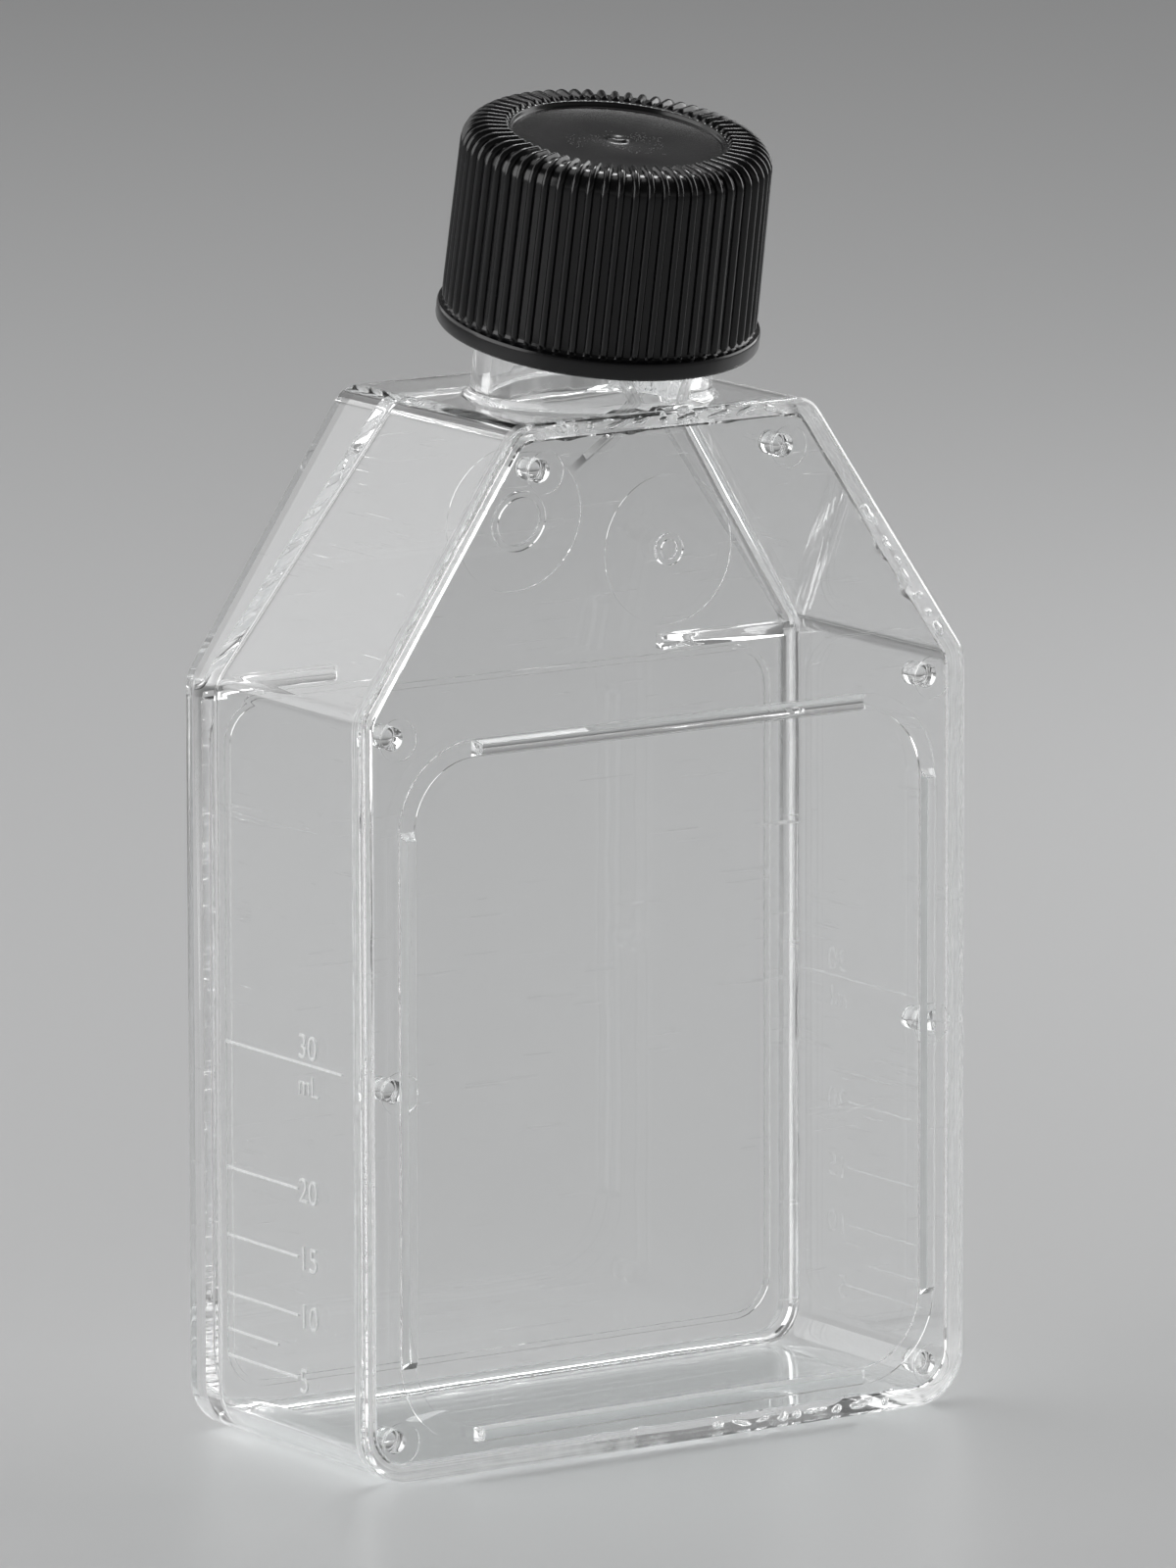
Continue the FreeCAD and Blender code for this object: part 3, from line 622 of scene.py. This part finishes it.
satin = merged_copy("top_plate")
steepest, flattest = SLOPE_FORWARD
kept_clear = [
    face for face in satin.faces
    if face.calc_center_median().y > PLATE_FACE or not steepest < face.normal.y < flattest
    or max(edge.calc_length() for edge in face.edges) < LEAST_RUN
]
bmesh.ops.delete(satin, geom=kept_clear, context="FACES")
bmesh.ops.solidify(satin, geom=satin.faces[:], thickness=SATIN_THICKNESS)
bmesh.ops.recalc_face_normals(satin, faces=satin.faces)
bar_sides = piece_from(satin, "bar_sides", "flask")


def satin_plastic(name):
    """A fine even white frosting as a painted highlight, a little thinner in places."""
    finish = Finish(name)
    place = finish.node("TexCoord", output="Object")
    wear = finish.node("TexNoise", sockets={"Vector": place, "Scale": 260, "Detail": 3})
    grain = finish.node("TexNoise", sockets={"Vector": place, "Scale": 5200, "Detail": 1})
    relief = finish.node("Bump", sockets={
        "Strength": 1, "Distance": MM, "Height": grain * SATIN_GRAIN_DEPTH,
    })
    return finish.surface(finish.node("BsdfPrincipled", sockets={
        "Base Color": PAINTED_HIGHLIGHT_WHITE, "IOR": POLYSTYRENE_BEND, "Normal": relief,
        "Roughness": grain * 0.2 + SATIN_ROUGHNESS, "Alpha": wear * 0.2 + SATIN_COVER,
    }))


bar_sides.data.materials.append(satin_plastic("satin_plastic"))

# ---------------------------------------------------------------------------------------------------
# The millilitre scale: fine raised lines and numerals on both narrow sides, of the tub's own
# polystyrene. They are cut into the mould, so they stand a little proud. Each side is laid out flat as
# it faces its reader, with X to the right from the middle of the side and Y up, and is then stood up.
# ---------------------------------------------------------------------------------------------------

MARK_RAISE = 0.10 * MM
MARK_ROOT = 0.04 * MM
LINE_WIDTH = 0.17 * MM
LINE_START = -6.6 * MM
DOT_RADIUS = 0.17 * MM
NUMERAL_START = 3.1 * MM
NUMERAL_HEIGHT = 1.95 * MM
NUMERAL_SQUEEZE = 0.98
NUMERAL_THIN = 0.025 * MM
# a numeral's share of its type size, and how large the unit is beside the numerals
NUMERAL_SHARE = 0.72
UNIT_SHARE = 0.85
MARK_HIGHLIGHT_WHITE = (0.97, 0.975, 0.975, 1)
MARK_ROUGHNESS = 0.25
MARK_GLOW = 0.2
MARK_GRAIN_DEPTH = 0.012
# which side and its name, how much lower it was cut, and how white it is painted beside its grain: a
# painted highlight, strong on the left, where the marks catch the light, and almost none on the right
SIDES = (
    (-1, "left", 0, 0.7),
    (1, "right", 0.5 * MM, -0.08),
)
# millilitres, the line's height, where it ends, and the numerals' foot
SCALE = (
    ("30", 30.75 * MM, 9.1 * MM, 31.15 * MM),
    ("20", 21.2 * MM, 3.0 * MM, 20.25 * MM),
    ("15", 16.05 * MM, 3.0 * MM, 15.1 * MM),
    ("10", 11.6 * MM, 3.0 * MM, 10.7 * MM),
    ("", 8.85 * MM, 0.2 * MM, 0),
    ("5", 6.85 * MM, 3.0 * MM, 5.8 * MM),
)
UNIT_FOOT = 28.4 * MM


def add_words(marks, words, size, foot):
    """Add raised letters to a side's flat marks."""
    font_curve = bpy.data.curves.new("letters", "FONT")
    font_curve.body = words
    font_curve.size = size
    font_curve.offset = -NUMERAL_THIN
    font_curve.extrude = (MARK_RAISE + MARK_ROOT) / 2
    font_curve.resolution_u = 4
    holder = put_in_scene("letters", font_curve)
    letters = evaluated(holder)
    bpy.data.objects.remove(holder)
    squeeze = Matrix.Diagonal((NUMERAL_SQUEEZE, 1, 1, 1))
    place = Matrix.Translation((NUMERAL_START, foot, 0))
    bmesh.ops.transform(letters, matrix=place @ squeeze, verts=letters.verts)
    add_part(marks, letters)


def to_side(side):
    """Stand flat marks on the left (-1) or right (1) side wall, upright and readable."""
    outward = Vector((side, 0, 0))
    rightward = Vector((0, side, 0))
    upward = Vector((0, 0, 1))
    turn = Matrix((rightward, upward, outward)).transposed().to_4x4()
    proud = side * (tub_high.x + (MARK_RAISE - MARK_ROOT) / 2)
    return Matrix.Translation((proud, 0, 0)) @ turn


def marked_plastic_painted_highlight(name, painted_whiteness):
    """The marks' plastic: the same, cut rough in the mould, with a painted highlight of white over it.
    """
    finish = Finish(name)
    place = finish.node("TexCoord", output="Object")
    rough_cut = finish.node("TexNoise", sockets={"Vector": place, "Scale": 2400, "Detail": 2})
    relief = finish.node("Bump", sockets={
        "Strength": 1, "Distance": MM, "Height": rough_cut * MARK_GRAIN_DEPTH,
    })
    # the marks' white is a painted highlight: strong on the left side, which catches the light, almost
    # none on the right
    return finish.surface(finish.node("BsdfPrincipled", sockets={
        "Base Color": MARK_HIGHLIGHT_WHITE, "IOR": POLYSTYRENE_BEND, "Transmission Weight": MARK_GLOW,
        "Roughness": rough_cut * 0.3 + MARK_ROUGHNESS, "Alpha": rough_cut * 0.3 + painted_whiteness,
        "Normal": relief,
    }))


letter_size = NUMERAL_HEIGHT / NUMERAL_SHARE
for side, side_name, drop, painted_whiteness in SIDES:
    marks = bmesh.new()
    for words, height, line_end, foot in SCALE:
        line = bmesh.ops.create_cube(marks, size=1)["verts"]
        place = Matrix.Translation(((LINE_START + line_end) / 2, height, 0))
        stretch = Matrix.Diagonal((line_end - LINE_START, LINE_WIDTH, MARK_RAISE + MARK_ROOT, 1))
        bmesh.ops.transform(marks, matrix=place @ stretch, verts=line)
        # the cutter went in deepest where each line starts
        dot = bmesh.ops.create_uvsphere(marks, u_segments=12, v_segments=8, radius=DOT_RADIUS)["verts"]
        place = Matrix.Translation((LINE_START, height, 0))
        flatten = Matrix.Diagonal((1, 1, MARK_RAISE / DOT_RADIUS, 1))
        bmesh.ops.transform(marks, matrix=place @ flatten, verts=dot)
        if words:
            add_words(marks, words, letter_size, foot)
    add_words(marks, "mL", letter_size * UNIT_SHARE, UNIT_FOOT)
    bmesh.ops.transform(marks, matrix=to_side(side), verts=marks.verts)
    bmesh.ops.translate(marks, vec=(0, 0, -drop), verts=marks.verts)
    scale_marks = piece_from(marks, f"scale_{side_name}", "flask")
    scale_marks.data.materials.append(marked_plastic_painted_highlight(f"raised_marks_{side_name}", painted_whiteness))

# ---------------------------------------------------------------------------------------------------
# The neck's thread: a low ridge of trapezoid section, moulded in one with the polystyrene neck. It
# winds a little over twice round its outside, runs out into the wall at both ends, and shows only
# when the cap is off.
# ---------------------------------------------------------------------------------------------------

hinge = next(joint for joint in frame["joints"] if joint["name"] == "cap_turn")
neck_axis = Vector(hinge["axis"]).normalized()
cap_foot = Vector(hinge["pos_m"])
# upright pieces, drawn round Z from the cap's foot up, are stood on the neck's own axis
on_neck = Matrix.Translation(cap_foot) @ neck_axis.to_track_quat("Z", "Y").to_matrix().to_4x4()
PITCH = 3.198 * MM
NECK_RADIUS = 8.998 * MM
THREAD_RAISE = 0.72 * MM
THREAD_FOOT = 1.3 * MM
THREAD_CREST = 0.55 * MM
THREAD_ROOT = 0.15 * MM
THREAD_START = 3.4 * MM
NECK_TURNS = 2.25
# the part of a turn over which each end runs out into the wall
RUN_OUT = 1 / 6
TURN_STEPS = 72


def thread(radius, raise_by, start, turns):
    """A helical ridge on a cylinder about Z. It rises outward, or inward where raise_by is negative."""
    ridge = bmesh.new()
    rooted = -math.copysign(THREAD_ROOT, raise_by)
    section = [
        (radius + rooted, -THREAD_FOOT / 2),
        (radius, -THREAD_FOOT / 2),
        (radius + raise_by, -THREAD_CREST / 2),
        (radius + raise_by, THREAD_CREST / 2),
        (radius, THREAD_FOOT / 2),
        (radius + rooted, THREAD_FOOT / 2),
    ]
    corners = [ridge.verts.new((across, 0, start + up)) for across, up in section]
    end = ridge.faces.new(corners)
    steps = round(turns * TURN_STEPS)
    bmesh.ops.spin(
        ridge, geom=[end] + end.edges[:] + end.verts[:], cent=(0, 0, 0), axis=(0, 0, 1),
        dvec=(0, 0, PITCH / TURN_STEPS), angle=math.tau * turns, steps=steps, use_merge=False,
    )
    # the profile shrinks to nothing at both ends
    for vert in ridge.verts:
        out = math.hypot(vert.co.x, vert.co.y)
        around = math.atan2(vert.co.y, vert.co.x) % math.tau
        centre = start + PITCH * around / math.tau
        centre += PITCH * round((vert.co.z - centre) / PITCH)
        done = (centre - start) / PITCH
        share = ease(min(done, turns - done) / RUN_OUT)
        target = radius + rooted + (out - radius - rooted) * share
        vert.co.x *= target / out
        vert.co.y *= target / out
    bmesh.ops.remove_doubles(ridge, verts=ridge.verts, dist=SAME_POINT)
    bmesh.ops.recalc_face_normals(ridge, faces=ridge.faces)
    return ridge


ridge = thread(NECK_RADIUS, THREAD_RAISE, THREAD_START, NECK_TURNS)
bmesh.ops.transform(ridge, matrix=on_neck, verts=ridge.verts)
neck_thread = piece_from(ridge, "neck_thread", "flask")
neck_thread.data.materials.append(clear_polystyrene)

# ---------------------------------------------------------------------------------------------------
# The liner: a white disc punched from fine closed-cell foam. It lies loose in the crown of the cap,
# which presses it on the neck's rim as a seal.
# ---------------------------------------------------------------------------------------------------

FOAM_WHITE = (0.80, 0.80, 0.77, 1)
FOAM_SHADE = (0.70, 0.70, 0.66, 1)
FOAM_ROUGHNESS = 0.65
FOAM_CELL_DEPTH = 0.1 * MM


def closed_cell_foam(name):
    """White foam with fine cells in its skin and faint clouds in its colour."""
    finish = Finish(name)
    place = finish.node("TexCoord", output="Object")
    cells = finish.node("TexVoronoi", sockets={"Vector": place, "Scale": 3800})
    cloud = finish.node("TexNoise", sockets={"Vector": place, "Scale": 500, "Detail": 3})
    relief = finish.node("Bump", sockets={
        "Strength": 0.6, "Distance": FOAM_CELL_DEPTH, "Height": cells,
    })
    colour = finish.node("Mix", {"data_type": "RGBA"}, {
        0: cloud, 6: FOAM_WHITE, 7: FOAM_SHADE,
    }, output=2)
    return finish.surface(finish.node("BsdfPrincipled", sockets={
        "Base Color": colour, "Roughness": cells * 0.2 + FOAM_ROUGHNESS, "Normal": relief,
    }))


liner = frame["nodes"]["cap_liner"]
liner.data.materials.clear()
liner.data.materials.append(closed_cell_foam("liner_foam"))

# ---------------------------------------------------------------------------------------------------
# The screw cap: one moulding of black polypropylene, with its thread inside. Narrow rounded ribs stand
# on its tapered side, go over the shoulder and run in across the crown to a sunk disc with the gate's
# nub. It screws on the neck.
# ---------------------------------------------------------------------------------------------------

RIBS = 62
RIB_STEPS = 14
RIB_HALF = 0.30 * MM
RIB_RAISE = 0.35 * MM
RIB_FOOT = 0.5 * MM
RIB_START = 8.15 * MM
RIB_FADE = 0.3 * MM
CAP_HEIGHT = 15.6 * MM
CAP_ROOT = 11.448 * MM
CAP_BORE = 9.948 * MM
FLANGE = 12.098 * MM
FLANGE_TOP = 1.4 * MM
CROWN = CAP_HEIGHT - RIB_RAISE
CROWN_ROOT = CAP_ROOT - 0.198 * MM
CROWN_ROUND = 1.5 * MM
DISH = 7.9 * MM
DISH_FLOOR = CROWN - 0.4 * MM
UNDERSIDE = CAP_HEIGHT - 1.6 * MM
BORE_WALL = 0.3 * MM
LONG_EDGE = 1.5 * MM
SIDE_ROWS = 10
CROWN_ROWS = 12
CAP_TURNS = 1.5
# the plastic: its colour and its dust's, how rough and how shiny they are, and depths in millimetres
CAP_BLACK = (0.004, 0.004, 0.0045, 1)
DUST_GREY = (0.05, 0.05, 0.048, 1)
CAP_ROUGHNESS = 0.17
CAP_SHINE = 0.44
DUST_ROUGHER = 0.3
GRAIN_DEPTH = 0.0035
CLOUD_DEPTH = 0.01
DUST_DEPTH = 0.01
# dust lies on the sunk disc: how large a speck is, how thick it lies in the middle, and thinner outward
SPECK_SIZE = 0.22
DUST_MIDDLE = 0.62
DUST_THINNING = -0.05 / MM

# half of the cap's section from the nub round to the underside: across, up, and how far it is rounded
section = bmesh.new()
outline = (
    (0, DISH_FLOOR + 0.14 * MM, 0),
    (0.42 * MM, DISH_FLOOR + 0.20 * MM, 0.12 * MM),
    (0.66 * MM, DISH_FLOOR + 0.22 * MM, 0.12 * MM),
    (0.95 * MM, DISH_FLOOR, 0.18 * MM),
    (DISH, DISH_FLOOR, 0.16 * MM),
    (DISH + 0.12 * MM, CROWN + 0.02 * MM, 0.08 * MM),
    (CROWN_ROOT, CROWN, CROWN_ROUND),
    (CAP_ROOT, FLANGE_TOP, 0.45 * MM),
    (FLANGE, FLANGE_TOP, 0.32 * MM),
    (FLANGE, 0, 0.3 * MM),
    (CAP_BORE, 0, 0.12 * MM),
    (CAP_BORE, UNDERSIDE, 0.3 * MM),
    (0, UNDERSIDE, 0),
)
corners = [section.verts.new((across, 0, up)) for across, up, rounding in outline]
section.faces.new(corners)
for corner, (across, up, rounding) in zip(corners, outline):
    if rounding:
        bmesh.ops.bevel(
            section, geom=[corner], affect="VERTICES", offset=rounding, offset_type="OFFSET",
            segments=8 if rounding > MM else 4, profile=0.5, material=-1,
        )
# rows on the side and the crown, for the ribs' rounded feet and ends
for edge in [edge for edge in section.edges if edge.calc_length() > LONG_EDGE]:
    middle = (edge.verts[0].co + edge.verts[1].co) / 2
    if middle.x > CAP_ROOT - 0.5 * MM and middle.z > 2 * FLANGE_TOP:
        bmesh.ops.subdivide_edges(section, edges=[edge], cuts=SIDE_ROWS)
    elif middle.z > CROWN - 0.1 * MM and middle.x > DISH:
        bmesh.ops.subdivide_edges(section, edges=[edge], cuts=CROWN_ROWS)
bmesh.ops.delete(section, geom=section.faces[:], context="FACES_ONLY")
axis_edges = [edge for edge in section.edges if max(vert.co.x for vert in edge.verts) < SAME_POINT]
bmesh.ops.delete(section, geom=axis_edges, context="EDGES")
bmesh.ops.spin(
    section, geom=section.verts[:] + section.edges[:], cent=(0, 0, 0), axis=(0, 0, 1),
    angle=math.tau, steps=RIBS * RIB_STEPS, use_merge=True,
)
bmesh.ops.remove_doubles(section, verts=section.verts, dist=SAME_POINT)

# the ribs stand square on the side, the rounded shoulder and the crown
round_height = CROWN - CROWN_ROUND
round_reach = CROWN_ROOT - CROWN_ROUND
pitch_angle = math.tau / RIBS
for vert in section.verts:
    out = math.hypot(vert.co.x, vert.co.y)
    up = vert.co.z
    inside = up < UNDERSIDE and out < CAP_BORE + BORE_WALL
    if out < RIB_START or up < FLANGE_TOP or inside:
        continue
    around = math.atan2(vert.co.y, vert.co.x)
    off_rib = (around / pitch_angle + 0.5) % 1 - 0.5
    arc = abs(off_rib) * pitch_angle * out
    if arc >= RIB_HALF:
        continue
    crest = math.sqrt(1 - (arc / RIB_HALF) ** 2)
    foot = ease((up - FLANGE_TOP) / RIB_FOOT)
    end = ease((out - RIB_START) / RIB_FADE)
    raised = RIB_RAISE * crest * min(foot, end)
    side_part = max(0, out - round_reach)
    top_part = max(0, up - round_height)
    length = math.hypot(side_part, top_part)
    vert.co.x += raised * side_part / length * math.cos(around)
    vert.co.y += raised * side_part / length * math.sin(around)
    vert.co.z += raised * top_part / length
bmesh.ops.recalc_face_normals(section, faces=section.faces)
bmesh.ops.transform(section, matrix=on_neck, verts=section.verts)
cap = piece_from(section, "ribbed_cap", "cap")


def black_moulding(name):
    """Glossy black polypropylene with a fine grain, and a little dust settled on the crown."""
    finish = Finish(name)
    place = finish.node("TexCoord", output="Object")
    grain = finish.node("TexNoise", sockets={"Vector": place, "Scale": 2600, "Detail": 2})
    cloud = finish.node("TexNoise", sockets={"Vector": place, "Scale": 210, "Detail": 3})
    specks = finish.node("TexVoronoi", sockets={"Vector": place, "Scale": 5200})
    settled = finish.node("TexNoise", sockets={"Vector": place, "Scale": 330, "Detail": 3})
    from_foot = finish.node("VectorMath", {"operation": "SUBTRACT"}, {0: place, 1: cap_foot})
    both = {0: from_foot, 1: neck_axis}
    height = finish.node("VectorMath", {"operation": "DOT_PRODUCT"}, both, "Value")
    sideways = finish.node("VectorMath", {"operation": "CROSS_PRODUCT"}, both)
    off_axis = finish.node("VectorMath", {"operation": "LENGTH"}, {0: sideways}, "Value")
    on_disc = (height > CROWN - 0.6 * MM) * (off_axis < DISH)
    thickness = off_axis * DUST_THINNING + DUST_MIDDLE
    dust = (specks < SPECK_SIZE) * on_disc * (settled > 1 - thickness)
    relief = finish.node("Bump", sockets={
        "Strength": 1, "Distance": MM,
        "Height": grain * GRAIN_DEPTH + cloud * CLOUD_DEPTH + dust * DUST_DEPTH,
    })
    colour = finish.node("Mix", {"data_type": "RGBA"}, {
        0: dust, 6: CAP_BLACK, 7: DUST_GREY,
    }, output=2)
    return finish.surface(finish.node("BsdfPrincipled", sockets={
        "Base Color": colour, "Normal": relief, "Specular IOR Level": CAP_SHINE,
        "Roughness": cloud * 0.08 + dust * DUST_ROUGHER + CAP_ROUGHNESS,
    }))


black_polypropylene = black_moulding("black_polypropylene")
cap.data.materials.append(black_polypropylene)
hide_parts("screw_cap")

ridge = thread(CAP_BORE, -THREAD_RAISE, THREAD_START + PITCH / 2, CAP_TURNS)
bmesh.ops.transform(ridge, matrix=on_neck, verts=ridge.verts)
cap_thread = piece_from(ridge, "cap_thread", "cap")
cap_thread.data.materials.append(black_polypropylene)

# ---------------------------------------------------------------------------------------------------
# The studio: a plain floor, painted pale and half matt, in a room with five soft lamps, seen through a
# long lens.
# ---------------------------------------------------------------------------------------------------

FLOOR_COLOUR = (0.55, 0.553, 0.556, 1)
FLOOR_ROUGHNESS = 0.35
FLOOR_HALF = 4
FLOOR_GAP = 0.05 * MM
floor_shape = bmesh.new()
bmesh.ops.create_grid(floor_shape, x_segments=1, y_segments=1, size=FLOOR_HALF)
floor = put_in_scene("floor", mesh_from(floor_shape, "floor"))
floor.location.z = cad_box[0].z - FLOOR_GAP
paint = Finish("pale_floor")
floor.data.materials.append(paint.surface(paint.node("BsdfPrincipled", sockets={
    "Base Color": FLOOR_COLOUR, "Roughness": FLOOR_ROUGHNESS,
})))

# the room is pale low down and dim overhead: how high each is, and how bright
ROOM_LOW = (0.02, 0.42)
ROOM_HIGH = (0.36, 0.07)
room = Finish("studio", "worlds")
direction = room.node("TexCoord", output="Generated")
upward = room.node("SeparateXYZ", sockets={0: direction}, output="Z")
fading = room.node("ValToRGB", sockets={0: upward}, stops=(ROOM_LOW, ROOM_HIGH))
walls = room.node("Background", sockets={"Color": fading})
bpy.context.scene.world = room.surface(walls, "OutputWorld")

# each soft lamp: where it stands, how wide and tall it is, and its power in watts
LAMPS = (
    ("left_panel", (-0.40, 0.10, 0.22), (0.38, 0.34), 1.10),
    ("right_panel", (0.40, 0.00, 0.22), (0.38, 0.34), 1.10),
    ("back_left_softbox", (-0.27, 0.56, 0.36), (0.60, 0.50), 1.2),
    ("key", (0.44, 0.44, 0.78), (0.26, 0.24), 1.9),
    ("overhead", (0.25, 0.60, 1.90), (1.60, 1.60), 8.5),
)
LAMPS_AIM = Vector((0, 0, 0.05))
for name, where, (wide, tall), power in LAMPS:
    lamp = bpy.data.lights.new(name, "AREA")
    lamp.shape = "RECTANGLE"
    lamp.size = wide
    lamp.size_y = tall
    lamp.energy = power
    stand = put_in_scene(name, lamp)
    stand.location = where
    stand.rotation_euler = (LAMPS_AIM - Vector(where)).to_track_quat("-Z", "Y").to_euler()
    stand.visible_camera = False

# light goes through many walls of clear plastic before it comes out
cycles = bpy.context.scene.cycles
cycles.max_bounces = 96
cycles.glossy_bounces = 80
cycles.transmission_bounces = 40
cycles.transparent_max_bounces = 40

# the camera looks down a little on the front and the left side, from far off
CAMERA_YAW = math.radians(33.74)
CAMERA_PITCH = math.radians(10.29)
CAMERA_ROLL = math.radians(-0.14)
CAMERA_DISTANCE = 1.1095
CAMERA_TARGET = Vector((0.00082, -0.0001, 0.04834))
LENS = 340
SENSOR_WIDTH = 36
CLIP_NEAR = 0.05
CLIP_FAR = 50
lens = bpy.data.cameras.new("camera")
lens.sensor_width = SENSOR_WIDTH
lens.lens = LENS
lens.clip_start = CLIP_NEAR
lens.clip_end = CLIP_FAR
camera = put_in_scene("camera", lens)
bpy.context.scene.camera = camera
forward = Vector((
    math.sin(CAMERA_YAW) * math.cos(CAMERA_PITCH),
    math.cos(CAMERA_YAW) * math.cos(CAMERA_PITCH),
    -math.sin(CAMERA_PITCH),
))
camera.location = CAMERA_TARGET - forward * CAMERA_DISTANCE
camera.rotation_mode = "QUATERNION"
roll = Matrix.Rotation(CAMERA_ROLL, 4, "Z")
facing = forward.to_track_quat("-Z", "Y").to_matrix().to_4x4()
camera.rotation_quaternion = (facing @ roll).to_quaternion()

bpy.context.scene.view_settings.view_transform = "Standard"
